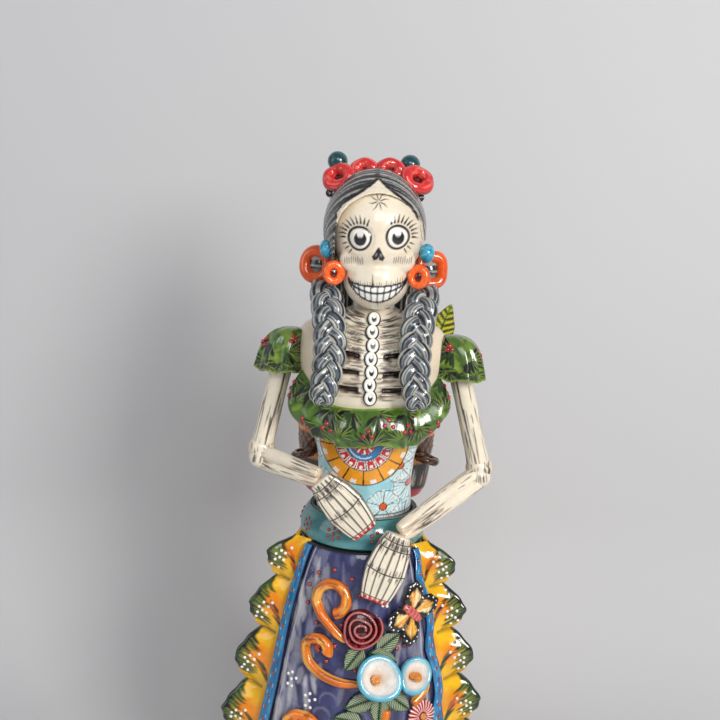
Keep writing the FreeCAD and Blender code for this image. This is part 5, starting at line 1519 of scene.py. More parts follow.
# ---------------------------------------------------------------- plaits
# Each plait is three flattened ropes of clay, really plaited, from behind the ear down over the chest. Scored
# along the strands; slate blue, black and cream glaze lie in the scores.
PLAIT = [(-42, -4, 525), (-40, -26, 515), (-37, -42, 501), (-35, -49, 483), (-35.5, -54, 464),
         (-38, -57.5, 445), (-40, -59.5, 433)]
SLATE, CREAM = rgb(74, 88, 102), rgb(196, 194, 184)
for hand, side in (("left", -1), ("right", 1)):
    route = np.array([(-side * x, y, z) for x, y, z in PLAIT])
    strands = []
    for strand in range(3):
        shares = np.linspace(0, 1, 44)
        line = along(route, shares)
        ahead = np.gradient(line, axis=0)
        ahead /= np.linalg.norm(ahead, axis=1)[:, None]
        out = np.array([0.1 * -side, -1.0, 0.25])
        out = out - (ahead @ out)[:, None] * ahead
        out /= np.linalg.norm(out, axis=1)[:, None]
        across_way = np.cross(ahead, out)
        turn = shares * 2 * np.pi * 3.1 + strand * 2 * np.pi / 3
        taper = np.interp(shares, [0, 0.08, 0.6, 0.92, 1], [0.8, 1, 1, 0.78, 0.35])
        centre_line = line + across_way * (7.3 * np.sin(turn) * taper)[:, None] * side + out * (2.9
                * np.sin(2 * turn) * taper)[:, None]
        rope, across, up = clay_roll(f"plait_{hand}_{strand}", centre_line, out,
                                     lambda u: np.interp(u, [0, 0.08, 0.6, 0.9, 1],
                                             [5.6, 7.0, 6.9, 5.6, 3.6]) * rounded(u, 0.03, 0.04),
                                     sides=44, rings=170, oval=0.74)
        generator = np.random.default_rng(140 + strand)
        phases = generator.uniform(0, 6.28, 4)
        turned = across * 2 * np.pi
        marks = sum(weight * np.sin(turned * rate + phase + 1.2 * np.sin(up * 17 + phase))
                    for rate, weight, phase in zip((5, 8, 13, 19), (1.0, 0.9, 0.8, 0.6), phases)) / 2.2
        looks = outward(rope)
        move_to(rope, places(rope) + looks * (0.35 * np.clip(marks, -1, 1))[:, None])
        paint = ground(len(up), SLATE)
        wash(paint, np.clip((marks - 0.05) * 2.2, 0, 0.9), CREAM)
        wash(paint, np.clip((-0.15 - marks) * 3.0, 0, 0.95), BLACK)
        wash(paint, np.clip(np.sin(up * 60 + strand) - 0.6, 0, 0.5), BLACK)
        coat(rope, paint)
        close_seams(rope)
        strands.append(rope)
    plait = join(f"plait_{hand}", strands)
    fire(plait, "torso", HAIR_GLAZE, [f"braid_{hand}"])

# ---------------------------------------------------------------- headdress
# Four rings rolled from a ribbon of clay stand along the crown on a hidden band, with a dark ball
# behind each outer
# one. Coral red glaze that thins to pink; painted shade darkens the inner side of each ring, and a maroon
# disc in each hole stands for shade.
CORAL, BLUSH, MAROON = rgb(214, 40, 40), rgb(240, 138, 120), rgb(84, 10, 16)
LOOPS = {"ribbon_loop_a": ((-35, 0, 614), 9.5, (-0.45, -0.75, 0.6)),
         "ribbon_loop_b": ((-14, 1, 621.5), 6.5, (-0.1, -0.9, 0.35)),
         "ribbon_loop_c": ((8, 1, 622), 7.0, (0.1, -0.9, 0.35)),
         "ribbon_loop_d": ((30.5, 0, 615), 10.0, (0.45, -0.75, 0.6))}
for number, (name, (at, radius, axis)) in enumerate(LOOPS.items()):
    axis = np.array(axis) / np.linalg.norm(axis)
    wide = np.cross([0, 0, 1.0], axis)
    wide = unit(wide)
    high = np.cross(axis, wide)
    turns = np.linspace(0, 2 * np.pi, 24, endpoint=False)
    route = np.array(at) + np.outer(radius * 1.04 * np.cos(turns),
                                    wide) + np.outer(radius * 0.86 * np.sin(turns), high)
    ring, across, up = clay_roll(name + "_roll", route, axis,
                                 lambda u: 5.2 + 0.5 * np.sin(u * 12.6 + number) + 0.25 * np.sin(u * 31),
                                 sides=34, rings=90, closed=True, oval=1.12)
    flat = np.stack([(across - 0.5) * 33, up * 2 * np.pi * radius], 1)
    paint = ground(len(up), CORAL)
    random.seed(150 + number)
    for stroke in range(70):
        around_at, start = between(-16, 16), between(-4, 60)
        brush(paint, flat, [(around_at, start), (around_at + between(-1, 1), start + between(6, 14))],
              between(0.8, 2.2),
              random.choice([BLUSH, BLUSH, rgb(176, 20, 26), rgb(232, 80, 72)]), feather=1.0, load=0.5)
    # Painted shade: maroon on the inner side of the ring.
    wash(paint, np.clip((across - 0.66) * 9, 0, 0.85) * np.clip((0.92 - across) * 12, 0, 1), MAROON)
    coat(ring, paint)
    close_seams(ring)
    # Painted shade: a maroon disc across the ring's hole.
    shade_disc, local = lump(name + "_floor", np.array(at) - axis * 2.2, [wide, high, axis],
                             [radius * 0.9, radius * 0.74, 1.8], detail=3)
    coat(shade_disc, ground(len(local), MAROON))
    ring = join(name + "_ring", [ring, shade_disc])
    fire(ring, "torso", FLOWER_GLAZE, [name])
band = from_part("headband", "headband_strip", 0.9, 3)
spots = places(band)
spots[:, 0] = (spots[:, 0] + 4) * 0.88 - 4
spots[:, 1] += 1.5
move_to(band, spots)
coat(band, ground(len(band.data.vertices), rgb(52, 20, 22)))
fire(band, "torso", FLOWER_GLAZE, ["headband"])
BALL_TEAL = rgb(14, 66, 74)
for hand, x in (("left", -37.0), ("right", 24.5)):
    berry, local = lump(f"berry_{hand}_ball", (x, 12, 627), UPRIGHT, [8.6, 8.4, 8.4], detail=5)
    paint = ground(len(local), BALL_TEAL)
    wash(paint, np.clip(np.sin(local[:, 0] * 6 + local[:, 2] * 9) - 0.5, 0, 0.5), rgb(46, 110, 110))
    # Painted shade: black over the lower half of the ball.
    wash(paint, np.clip(-local[:, 2] - 0.2, 0, 0.8), BLACK)
    coat(berry, paint)
    fire(berry, "torso", GLAZE, [f"berry_{hand}"])

# ---------------------------------------------------------------- ears
# A turquoise plug at each ear, an orange ear ring like the mouth of a trumpet under it, and an
# orange tie where the
# plait starts. All are rolled or pressed by hand.
TURQUOISE, TANGERINE = rgb(44, 154, 190), rgb(244, 96, 18)
for hand, side in (("left", -1), ("right", 1)):
    plug, local = lump(f"ear_plug_{hand}_bead", (side * 41.6, -20.4, 556.3), UPRIGHT, [6.5, 8.0, 8.2],
                       detail=5)
    paint = ground(len(local), TURQUOISE)
    wash(paint, np.clip(np.sin(local[:, 2] * 8 + local[:, 1] * 5) - 0.4, 0, 0.55), rgb(120, 206, 220))
    wash(paint, np.clip(np.sin(local[:, 2] * 5 - local[:, 0] * 7 + 2) - 0.5, 0, 0.6), rgb(18, 92, 136))
    coat(plug, paint)
    fire(plug, "torso", GLAZE, [f"ear_plug_{hand}"])
    axis = np.array([side * -0.25, -1.0, 0.1])
    axis = unit(axis)
    wide = np.cross([0, 0, 1.0], axis)
    wide = unit(wide)
    high = np.cross(axis, wide)
    turns = np.linspace(0, 2 * np.pi, 20, endpoint=False)
    centre_at = np.array([side * 35.0, -34.0, 538.0])
    route = centre_at + np.outer(6.2 * np.cos(turns), wide) + np.outer(7.0 * np.sin(turns), high)
    ring, across, up = clay_roll(f"ear_ring_{hand}_roll", route, axis,
                                 lambda u: 3.5 + 0.4 * np.sin(u * 6.28 + 1), sides=30, rings=80, closed=True,
                                 oval=1.05)
    paint = ground(len(up), TANGERINE)
    # Painted shade: dark red on the inner side of the ring.
    wash(paint, np.clip((across - 0.6) * 7, 0, 0.8) * np.clip((0.95 - across) * 12, 0, 1), rgb(150, 30, 10))
    wash(paint, np.clip(np.sin(up * 60 + across * 9) - 0.7, 0, 0.6), rgb(250, 160, 70))
    coat(ring, paint)
    close_seams(ring)
    throat, local = lump(f"ear_ring_{hand}_throat", centre_at - axis * 1.0, [wide, high, axis],
                         [4.2, 5.0, 2.4], detail=3)
    paint = ground(len(local), rgb(190, 50, 12))
    # Painted shade: the throat darkens to near black in its middle, deep in the trumpet's mouth.
    wash(paint, np.clip(1.9 - np.hypot(local[:, 0], local[:, 1]) * 2.0, 0, 1), rgb(66, 8, 10))
    coat(throat, paint)
    ring = join(f"ear_ring_{hand}_set", [ring, throat])
    fire(ring, "torso", FLOWER_GLAZE, [f"ear_ring_{hand}"])
    axis = np.array([side * 0.3, -1.0, 0.15])
    axis = unit(axis)
    wide = np.cross([0, 0, 1.0], axis)
    wide = unit(wide)
    high = np.cross(axis, wide)
    turns = np.linspace(0, 2 * np.pi, 28, endpoint=False)
    square = 0.62 if hand == "right" else 0.9
    x = np.sign(np.cos(turns)) * np.abs(np.cos(turns)) ** square * 10.4
    z = np.sign(np.sin(turns)) * np.abs(np.sin(turns)) ** square * 11.6
    route = np.array([side * 49.0 - 2, 6, 539]) + np.outer(x, wide) + np.outer(z, high)
    tie, across, up = clay_roll(f"hair_tie_{hand}_roll", route, axis, lambda u: 5.2 + 0.25 * np.sin(u * 12.6),
                                sides=34, rings=90, closed=True, oval=1.1)
    paint = ground(len(up), rgb(238, 88, 20))
    random.seed(160 + side)
    flat = np.stack([(across - 0.5) * 33, up * 70], 1)
    for stroke in range(50):
        around_at, start = between(-16, 16), between(0, 70)
        brush(paint, flat, [(around_at, start), (around_at, start + between(6, 16))], between(1, 2.4),
              random.choice([rgb(250, 138, 60), rgb(196, 44, 14)]), feather=1.2, load=0.45)
    # Painted shade: dark red on the inner side of the tie's ring.
    wash(paint, np.clip((across - 0.68) * 9, 0, 0.8) * np.clip((0.95 - across) * 12, 0, 1), rgb(120, 24, 10))
    coat(tie, paint)
    close_seams(tie)
    knot, local = lump(f"hair_tie_{hand}_knot", np.array([side * 49.0 - 2, 7, 539]), [wide, high, axis],
                       [7.4, 8.4, 4.2], detail=4)
    marks = comb(local[:, 1] * 0.12, local[:, 0] * 6, 9)
    paint = ground(len(local), HAIR_DARK)
    wash(paint, np.clip((marks - 0.55) * 4, 0, 0.9), HAIR_LIGHT)
    coat(knot, paint)
    tie = join(f"hair_tie_{hand}_set", [tie, knot])
    fire(tie, "torso", FLOWER_GLAZE, [f"hair_tie_{hand}"])

# ---------------------------------------------------------------- blouse
# Ruffles of rolled clay: one round the chest that rises to the armpits, a plain one across the
# back, and a puff over
# each shoulder. Green glaze brushed over with fans of black leaves, and red berries dabbed on in threes.
GRASS, LIME, MOSS = rgb(72, 106, 30), rgb(142, 166, 62), rgb(34, 60, 20)
JET = rgb(14, 20, 12)
BERRY_RED = rgb(178, 24, 46)


def leafy(paint, flat, fans, seed, edge=None):
    """Brushes green streaks, then fans of black leaves from each point; edge says how near a pale rim is."""
    random.seed(seed)
    low, high = flat.min(0), flat.max(0)
    for stroke in range(int((high[0] - low[0]) * 1.1)):
        x, z = between(low[0], high[0]), between(low[1], high[1])
        lean = between(-1.2, 1.2)
        length = between(8, 20)
        brush(paint, flat, [(x, z), (x + math.sin(lean) * length, z - math.cos(lean) * length)],
              between(2, 5),
              random.choice([LIME, MOSS, rgb(92, 130, 42), rgb(56, 88, 26)]), feather=1.6, load=0.6)
    for x, z, facing in fans:
        for blade in range(9):
            lean = math.radians(facing - 76 + blade * 19 + between(-6, 6))
            length = between(11, 17)
            root = (x + math.cos(lean) * 2.0, z + math.sin(lean) * 2.0)
            tip = (x + math.cos(lean) * length, z + math.sin(lean) * length)
            middle = ((root[0] + tip[0]) / 2 + between(-1, 1), (root[1] + tip[1]) / 2 + 0.8)
            brush(paint, flat, [root, middle, tip], between(3.0, 4.4), random.choice([JET, JET, MOSS]),
                  land=0.55, lift=0.4, feather=0.7)
            brush(paint, flat, [(root[0] + 1, root[1]), (tip[0] + 1.6, tip[1])], 0.8, LIME, land=0.3,
                  lift=0.6, feather=0.6, load=0.8)
    if edge is not None:
        wash(paint, edge, LIME)


FRILL_ROWS = [(0.0, 60.2, 59.4), (0.25, 63.4, 59.6), (0.5, 64.6, 58.0), (0.75, 63.0, 54.5), (1.0, 59.8, 49.6)]
FRILL_EDGE = 84.0


def chest_frill(a, u):
    bearing = (2 * a - 1) * FRILL_EDGE
    away = np.abs(bearing)
    low = 396.2 + 1.8 * np.sin(np.radians(bearing) * 7 + 0.6) + 24 * np.clip((away - 50) / 34, 0, 1) ** 1.4
    high = 427.5 + 0.8 * np.sin(np.radians(bearing) * 5) + 27 * np.clip((away - 38) / 32, 0,
            1) ** 1.3 - 9 * np.clip((away - 74) / 10, 0, 1)
    share, wide, deep = along(FRILL_ROWS, u).T
    lobe = np.exp(-((away - 64) / 13) ** 2)
    fold = (1.7 * np.sin(np.radians(bearing) * 15 + 1.1) + 1.0 * np.sin(np.radians(bearing) * 27)) * (1
            - u) ** 0.8
    puff = (fold + 1.2 * np.sin(np.pi * u) - 1.2) * (1 - 0.3 * lobe)
    x = (wide + puff) * np.sin(np.radians(bearing)) * (1 + 0.17 * lobe
            * np.sin(np.pi * np.clip(u, 0, 1) ** 0.8))
    y = -(deep + puff) * np.cos(np.radians(bearing)) - 7.0 * lobe * np.sin(np.pi * u)
    return x, y, low + (high - low) * u


frill_sheet, across, up = clay_sheet("chest_frill", 250, 70, chest_frill)
spots = places(frill_sheet)
flat = np.stack([np.radians((2 * across - 1) * FRILL_EDGE) * 62, spots[:, 2]], 1)
paint = ground(len(flat), GRASS)
fans = [(-44, 410, 250), (-24, 404, 70), (-14, 425, 235), (3, 398, 90), (8, 424, 300), (27, 403, 100),
        (43, 412, 280), (-66, 425, 110),
        (-78, 446, 260), (66, 425, 70), (78, 446, 280), (-56, 440, 300), (56, 440, 240), (-34, 424, 260),
        (34, 424, 280)]
leafy(paint, flat, fans, 171, np.clip((up - 0.93) * 12, 0, 0.8) + np.clip((0.035 - up) * 30, 0, 0.7))
coat(frill_sheet, paint)
thicken(frill_sheet, 4.2)
LEAF_GLAZE = painted_glaze("leaf_glaze", mottle=0.18, cloud=16.0, roughness=0.24, ripple=0.35)
fire(frill_sheet, "torso", LEAF_GLAZE, ["blouse_front"])


def frill_spot(x_flat, share):
    """A spot on the chest frill, and the way that it faces."""
    a = np.array([(x_flat / 62 / math.radians(FRILL_EDGE) + 1) / 2])
    here = np.array(chest_frill(a, np.array([share]))).ravel()
    right = np.array(chest_frill(a + 0.01, np.array([share]))).ravel()
    over = np.array(chest_frill(a, np.array([share + 0.02]))).ravel()
    facing = np.cross(right - here, over - here)
    return here, unit(facing)


spots, normals = [], []
for x_flat, share in [(-36, 0.42), (0, 0.36), (34, 0.5), (-76, 0.62), (78, 0.66), (60, 0.3), (-58, 0.28),
                      (17, 0.62)]:
    for x_step, up_step in ((0, 0.10), (-3.6, -0.05), (3.4, -0.06)):
        spot, normal = frill_spot(x_flat + x_step, share + up_step)
        spots.append(spot + normal * 0.1)
        normals.append(normal)
dabs("chest_frill_berries", spots, normals, 2.0, BERRY_RED, "torso")


def back_frill(a, u):
    bearing = 93 + a * 174
    fold = 1.5 * np.sin(np.radians(bearing) * 15) * (1 - u)
    share, wide, deep = along(FRILL_ROWS, 0.35 + 0.65 * u).T
    x, y = (wide + fold) * np.sin(np.radians(bearing)), -(deep + fold) * np.cos(np.radians(bearing))
    return x, np.minimum(y, 46.2 + 0 * y), 410.5 + 45 * u * (0.42 + 0.58
            * np.abs(np.cos(np.radians((bearing - 180) * 0.5))) ** 0.5)


back_sheet, across, up = clay_sheet("back_frill", 170, 44, back_frill)
spots = places(back_sheet)
flat = np.stack([across * 176, spots[:, 2]], 1)
paint = ground(len(flat), GRASS)
leafy(paint, flat, [(x, 414 + 14 * (k % 2), 90 if k % 2 == 0 else 270) for k,
                    x in enumerate(range(10, 176, 17))], 172,
      np.clip((up - 0.93) * 12, 0, 0.8) + np.clip((0.035 - up) * 30, 0, 0.7))
coat(back_sheet, paint)
thicken(back_sheet, 3.6)
fire(back_sheet, "torso", LEAF_GLAZE, ["blouse_back"])

for hand, side in (("left", -1), ("right", 1)):
    centre_at = np.array([side * 77.7, -5.2, 462.3])
    power = 0.72 if hand == "right" else 0.95

    def puff(a, u):
        turn = a * 2 * np.pi
        tall = np.sin(u * np.pi / 2)
        ring = np.cos(u * np.pi / 2) ** 0.62
        x = np.sign(np.sin(turn)) * np.abs(np.sin(turn)) ** power
        y = -np.sign(np.cos(turn)) * np.abs(np.cos(turn)) ** power
        fold = 1 + (0.055 * np.sin(turn * 7 + side) + 0.03 * np.sin(turn * 12)) * (1 - u) ** 0.6
        flip = 1.0 + 0.05 * (1 - np.clip(u / 0.12, 0, 1))
        lean = side * 9.0 * u ** 1.5
        return (centre_at[0] - lean + 21.2 * x * ring * fold * flip,
                centre_at[1] + 19.4 * y * ring * fold * flip,
                centre_at[2] - 13.5 + 36.5 * tall + 1.2 * np.sin(turn * 7 + side) * (1 - u))

    sleeve, across, up = clay_sheet(f"sleeve_{hand}_puff", 150, 70, puff)
    spots = places(sleeve)
    flat = np.stack([np.where(spots[:, 1] < centre_at[1], 1, -1) * (spots[:, 0] - centre_at[0]), spots[:, 2]],
                    1)
    paint = ground(len(flat), GRASS)
    wash(paint, np.clip(0.5 + 0.5 * np.sin(flat[:, 0] * 0.25 + flat[:, 1] * 0.13), 0, 1) * 0.5, LIME)
    leafy(paint, flat, [(-8, 474, 200), (6, 468, 330), (-2, 458, 265), (10, 455, 290), (-12, 456, 240)],
          175 + side,
          np.clip((0.035 - up) * 30, 0, 0.8))
    coat(sleeve, paint)
    thicken(sleeve, 3.8)
    fire(sleeve, "torso", LEAF_GLAZE, [f"sleeve_{hand}"])
    spots, normals = [], []
    for turn_now, share in ((-0.42 * side, 0.62), (-0.42 * side + 0.14, 0.54), (-0.42 * side - 0.12, 0.52),
                            (1.3 * side, 0.5), (1.42 * side, 0.42), (1.18 * side, 0.4)):
        a = np.array([(turn_now / (2 * np.pi)) % 1.0])
        here = np.array(puff(a, np.array([share]))).ravel()
        facing = here - centre_at
        spots.append(here)
        normals.append(unit(facing))
    dabs(f"sleeve_{hand}_berries", spots, normals, 2.1, BERRY_RED, "torso")

# ---------------------------------------------------------------- arms
# Bones rolled from clay: one in the upper arm, two side by side in the forearm, knobs where they
# meet. Cream slip
# with long black and brown strokes of grain, and crescents drawn round the elbows.
ARMS = {"left": ((-76, 0, 459), (-93, -3, 374), (-38, -51, 365), (3, -59, 322)),
        "right": ((76, 0, 459), (101, -3, 366), (31, -62, 323), (12, -77, 268))}


def grain(paint, flat, girth, run, seed, count, heavy=1.0):
    """Long strokes of grain along a bone, closer together near its ends."""
    random.seed(seed)
    for stroke in range(count):
        at = between(-girth / 2, girth / 2)
        start = run * random.choice([between(0, 0.3), between(0.62, 1.0), between(0, 1)])
        length = between(7, 22)
        brush(paint, flat, [(at, start - length / 2), (at + between(-0.7, 0.7), start + length / 2)],
              between(0.6, 1.2) * heavy,
              random.choice([INK, INK, rgb(92, 70, 56), rgb(150, 112, 80)]), feather=0.5, load=0.85, land=0.3,
              lift=0.7)


for hand, (top, elbow, wrist, tips) in ARMS.items():
    side = -1 if hand == "left" else 1
    top, elbow, wrist, tips = (np.array(k, float) for k in (top, elbow, wrist, tips))
    facing = np.array([side * 0.15, -1.0, 0.1])
    reach = top + (elbow - top) * 1.02
    run = np.linalg.norm(elbow - top)
    bone, across, up = clay_roll(f"upper_arm_{hand}_bone",
                                 [top + (top - elbow) * 0.10, top, (top * 2 + elbow) / 3,
                                  (top + elbow * 2) / 3, elbow], facing,
                                 lambda u: np.interp(u, [0, 0.22, 0.5, 0.85, 1],
                                         [10.6, 10.4, 9.4, 9.6, 10.6]) * rounded(u, 0.05, 0.05), sides=70,
                                         rings=150)
    flat = np.stack([(across - 0.5) * 62, up * run], 1)
    paint = ground(len(up), BONE)
    # Painted shade: tan towards the sides of the bone.
    wash(paint, np.clip((np.abs(across - 0.5) - 0.2) * 2, 0, 0.28), SHADE_TAN)
    grain(paint, flat, 50, run, 181 + side, 120)
    brush(paint, flat, [(5 * side, 8), (7 * side, run * 0.5), (4 * side, run * 0.96)], 1.6, INK, land=0.2,
          lift=0.4)
    coat(bone, paint)
    close_seams(bone)
    tenon, across, up = clay_roll(f"upper_arm_{hand}_tenon",
                                  [(side * 52, 0, 461), (side * 60, 0, 461), (side * 68, 0, 461),
                                   (side * 76, 0, 460)], (0, -1, 0),
                                  lambda u: 7.4 * rounded(u, 0.08, 0.08), sides=24, rings=30)
    coat(tenon, ground(len(up), BONE))
    close_seams(tenon)
    knob, local = lump(f"upper_arm_{hand}_knob", elbow, UPRIGHT, [12.0, 12.0, 12.2], detail=5)
    flat = local[:, [0, 2]] * 12
    paint = ground(len(local), BONE)
    # Painted shade: tan towards the sides of the knob.
    wash(paint, np.clip(np.abs(local[:, 0]) - 0.35, 0, 0.5), SHADE_TAN)
    for arc_radius, width in ((8.5, 1.6), (5.2, 1.1)):
        curve = [(arc_radius * math.cos(t), arc_radius * math.sin(t) - 1)
                 for t in np.linspace(3.4 if side < 0 else -1.0, 5.2 if side < 0 else 0.8, 9)]
        brush(paint, flat, curve, width, INK, feather=0.7)
    random.seed(187)
    for tick in range(16):
        x, z = between(-8, 8), between(-9, 9)
        brush(paint, flat, [(x, z), (x + between(-1, 1), z + between(3, 6))], 0.9, INK, feather=0.6, load=0.7)
    coat(knob, paint)
    upper = join(f"upper_arm_{hand}_set", [bone, tenon, knob])
    fire(upper, "torso", BONE_GLAZE, [f"upper_arm_{hand}"])

    start = elbow + [0, -3, -7]
    ahead = (wrist - start) / np.linalg.norm(wrist - start)
    cross = np.cross(ahead, [0, 1.0, 0])
    cross = unit(cross)
    run = np.linalg.norm(wrist - start)
    bones = []
    for part in (-1, 1):
        line = [start + cross * part * 3.6 - ahead * 3, start + cross * part * 4.6 + ahead * run * 0.25,
                start + cross * part * 4.4 + ahead * run * 0.6, wrist + cross * part * 3.6 - ahead * 1.0]
        bone, across, up = clay_roll(f"forearm_{hand}_{part}", line, (0, -1, 0.15),
                                     lambda u: np.interp(u, [0, 0.2, 0.6, 0.9, 1], [7.4, 6.8, 6.0, 5.6, 4.6])
                                     * rounded(u, 0.06, 0.03), sides=60, rings=150)
        flat = np.stack([(across - 0.5) * 40, up * run], 1)
        paint = ground(len(up), BONE)
        # Painted shade: tan towards the sides of the bone.
        wash(paint, np.clip((np.abs(across - 0.5) - 0.2) * 2, 0, 0.25), SHADE_TAN)
        grain(paint, flat, 32, run, 190 + part + side * 3, 70)
        # Painted shade: tan darkening towards the wrist end.
        wash(paint, np.clip((up - 0.8) * 3, 0, 0.35), SHADE_TAN)
        coat(bone, paint)
        close_seams(bone)
        bones.append(bone)
    knuckle, local = lump(f"forearm_{hand}_knob", start, UPRIGHT, [10.6, 10.8, 10.6], detail=5)
    flat = local[:, [0, 2]] * 10.6
    paint = ground(len(local), BONE)
    for tick in range(12):
        at = between(-7, 7)
        brush(paint, flat, [(at, -3), (at + side * -1.5, 5)], 1.0, INK, feather=0.6, load=0.7)
    coat(knuckle, paint)
    forearm = join(f"forearm_{hand}_set", bones + [knuckle])
    fire(forearm, "torso", BONE_GLAZE, [f"forearm_{hand}"])

    # The hand is a mitten of clay, ruled into fingers with a knife, the nails dabbed red.
    reach = tips - wrist
    run = np.linalg.norm(reach)
    ahead = reach / run
    out = np.array([0, -1.0, 0.0]) - ahead * (np.array([0, -1.0, 0.0]) @ ahead)
    out = unit(out)
    cross = np.cross(ahead, out)

    def palm(a, u):
        angle = (a * 2 - 1) * np.pi
        half = np.interp(u, [0, 0.12, 0.3, 0.56, 0.8, 1.0], [11.0, 13.2, 15.8, 17.8, 15.4, 12.2])
        thick = np.interp(u, [0, 0.12, 0.3, 0.56, 1.0], [8.4, 7.8, 6.2, 5.0, 3.8])
        tip = rounded(u, 0.03, 0.035)
        x = np.sign(np.sin(angle)) * np.abs(np.sin(angle)) ** 0.72
        z = np.sign(np.cos(angle)) * np.abs(np.cos(angle)) ** 0.55
        groove = np.abs(np.sin((x * 0.5 + 0.5) * 4.5 * np.pi + 0.4)) ** 0.5
        depth = 1 - 0.13 * (1 - groove) * np.clip((u - 0.22) * 8, 0, 1) * (z > 0)
        finger = 1 + 0.012 * np.cos(x * 4.5 * np.pi) * np.clip((u - 0.9) * 12, 0, 1)
        return (wrist + np.outer(u * run * finger, ahead) + (x * half * tip ** 0.5)[:, None] * cross
                + (z * thick * depth * tip + 0.5 * np.sin(u * np.pi))[:, None] * out).T

    hand_sheet, across, up = clay_sheet(f"hand_{hand}_palm", 150, 150, palm)
    spots = places(hand_sheet) - wrist
    flat = np.stack([spots @ cross, spots @ ahead], 1)
    near = (spots @ out) > -1.0
    half = np.interp(flat[:, 1] / run, [0, 0.12, 0.3, 0.56, 0.8, 1.0], [9.6, 12.5, 15.8, 17.8, 15.4, 12.2])
    paint = ground(len(flat), BONE)
    drawn = paint.copy()
    for line in range(-2, 3):
        share = line * 0.40
        route = [(share * np.interp(v, [0, 0.12, 0.3, 0.56, 0.8, 1.0], [9.6, 12.5, 15.8, 17.8, 15.4, 12.2]),
                  v * run)
                 for v in np.linspace(0.05 if abs(line) < 2 else 0.16, 1.0, 12)]
        brush(drawn, flat, route, 1.15, INK, land=0.02, lift=0.02, feather=0.7)
    random.seed(195 + side)
    for level, sag in ((0.10, 1.5), (0.21, 1.2), (0.55, 2.6), (0.93, 0.6)):
        width_now = np.interp(level, [0, 0.12, 0.3, 0.56, 0.8, 1.0], [9.6, 12.5, 15.8, 17.8, 15.4, 12.2])
        route = [(v * width_now * 0.96, level * run + sag * math.cos(v * 1.6)) for v in np.linspace(-1, 1, 9)]
        brush(drawn, flat, route, 1.15 if level < 0.9 else 0.8, INK, land=0.02, lift=0.02, feather=0.7)
        if level < 0.9:
            for tick in range(44):
                v = between(-0.95, 0.95)
                way = random.choice([-1, 1])
                begin = (v * width_now, level * run + sag * math.cos(v * 1.6) + way * 1.0)
                brush(drawn, flat, [begin, (begin[0] * 1.02, begin[1] + way * between(2.5, 6))], 0.75, INK,
                      land=0.1, lift=0.9, feather=0.5, load=0.8)
    for line in range(-2, 3):
        brush(drawn, flat, [(line * 0.36 * 12.4, run * 0.968), (line * 0.36 * 12.2, run * 1.0)], 3.0,
              rgb(196, 24, 34), land=0.02, lift=0.02, feather=0.6)
    wash(drawn, np.clip(1.1 - np.abs(np.abs(flat[:, 0]) - half * 0.99) / 0.9, 0, 0.8), INK)
    paint[near] = drawn[near]
    # Painted shade: tan over the side of the hand that faces away.
    wash(paint, (~near) * 0.35, SHADE_TAN)
    coat(hand_sheet, paint)
    close_seams(hand_sheet)
    fire(hand_sheet, "torso", BONE_GLAZE, [f"hand_{hand}"])

# ---------------------------------------------------------------- back basket
# An oval basket luted to the back, pinched and combed to look woven, above painted bands. It holds
# leaves and three
# calla lilies, and has a short loop handle at each side.
BASKET_BACK = 79.0
rows = [(302.2, 33.6, 11.6), (303.5, 38, 13.5), (308, 52.6, 19.4), (315, 58.2, 22.4), (322, 60.8, 23.8),
        (342, 63.6, 26.8), (362, 64.8, 31),
        (383, 65.6, 34.6), (405, 65.4, 35), (425.6, 63.8, 34.8)]
section = [(z, w, d, BASKET_BACK) for z, w, d in rows] + [(424.8, 60.0, 31.0, BASKET_BACK),
        (405, 60.4, 30, BASKET_BACK),
                                                        (383, 60.4, 29.6, BASKET_BACK),
                                              (342, 58.6, 22, BASKET_BACK), (312, 48, 15, BASKET_BACK),
                                                        (308.4, 24, 7, BASKET_BACK),
                                              (308.0, 0.01, 0.01, BASKET_BACK),
                                              (302.2, 0.01, 0.01, BASKET_BACK)]


def wall(a, u):
    height, wide, deep, back = along(section, u, closed=True).T
    turn = a * 2 * np.pi - np.pi
    woven = ((u < 0.54) & (height > 356)) * np.sin(turn * 34) * np.sin((height - 356) * np.pi / 5.2)
    x, y = (wide + 0.9 * woven) * np.sin(turn), back - (deep + 0.9 * woven) * np.cos(turn)
    return x, np.maximum(y, 44.2 + np.clip((np.abs(x) - 30) * -0.05, -0.4, 0)), height


basket, across, up = clay_sheet("basket_wall", 250, 135, wall)
spots = places(basket)
flat = np.stack([(across * 2 - 1) * np.pi * 52, spots[:, 2]], 1)
WICKER = rgb(96, 58, 36)
paint = ground(len(flat), WICKER)
# Painted light and shade on the weave: lighter on its raised bumps, darker in its dips.
weave_shading = np.sin((across * 2 - 1) * np.pi * 34) * np.sin((spots[:, 2] - 356) * np.pi / 5.2)
wash(paint, np.clip(weave_shading, 0, 0.6), rgb(160, 108, 66))
wash(paint, np.clip(-weave_shading - 0.2, 0, 0.7), rgb(40, 22, 14))
for low_edge, high_edge, tone in ((300, 318, rgb(190, 24, 36)), (318, 345, rgb(24, 22, 22)),
                                  (345, 353, rgb(236, 142, 30)),
                                  (353, 356, rgb(40, 24, 16)), (372, 378, rgb(236, 142, 30))):
    wash(paint, ((spots[:, 2] >= low_edge) & (spots[:, 2] < high_edge)) * 1.0, tone)
random.seed(201)
for stroke in range(150):
    x = between(-162, 162)
    brush(paint, flat, [(x, 321), (x + between(-3, 3), between(328, 341))], between(1.2, 2.6),
          random.choice([rgb(60, 110, 50), rgb(200, 200, 190), rgb(120, 40, 40)]), feather=0.9, load=0.8)
wash(paint, (up > 0.54) * 1.0, rgb(70, 44, 30))
coat(basket, paint)
close_seams(basket)
fire(basket, "torso", FLOWER_GLAZE, ["basket"])
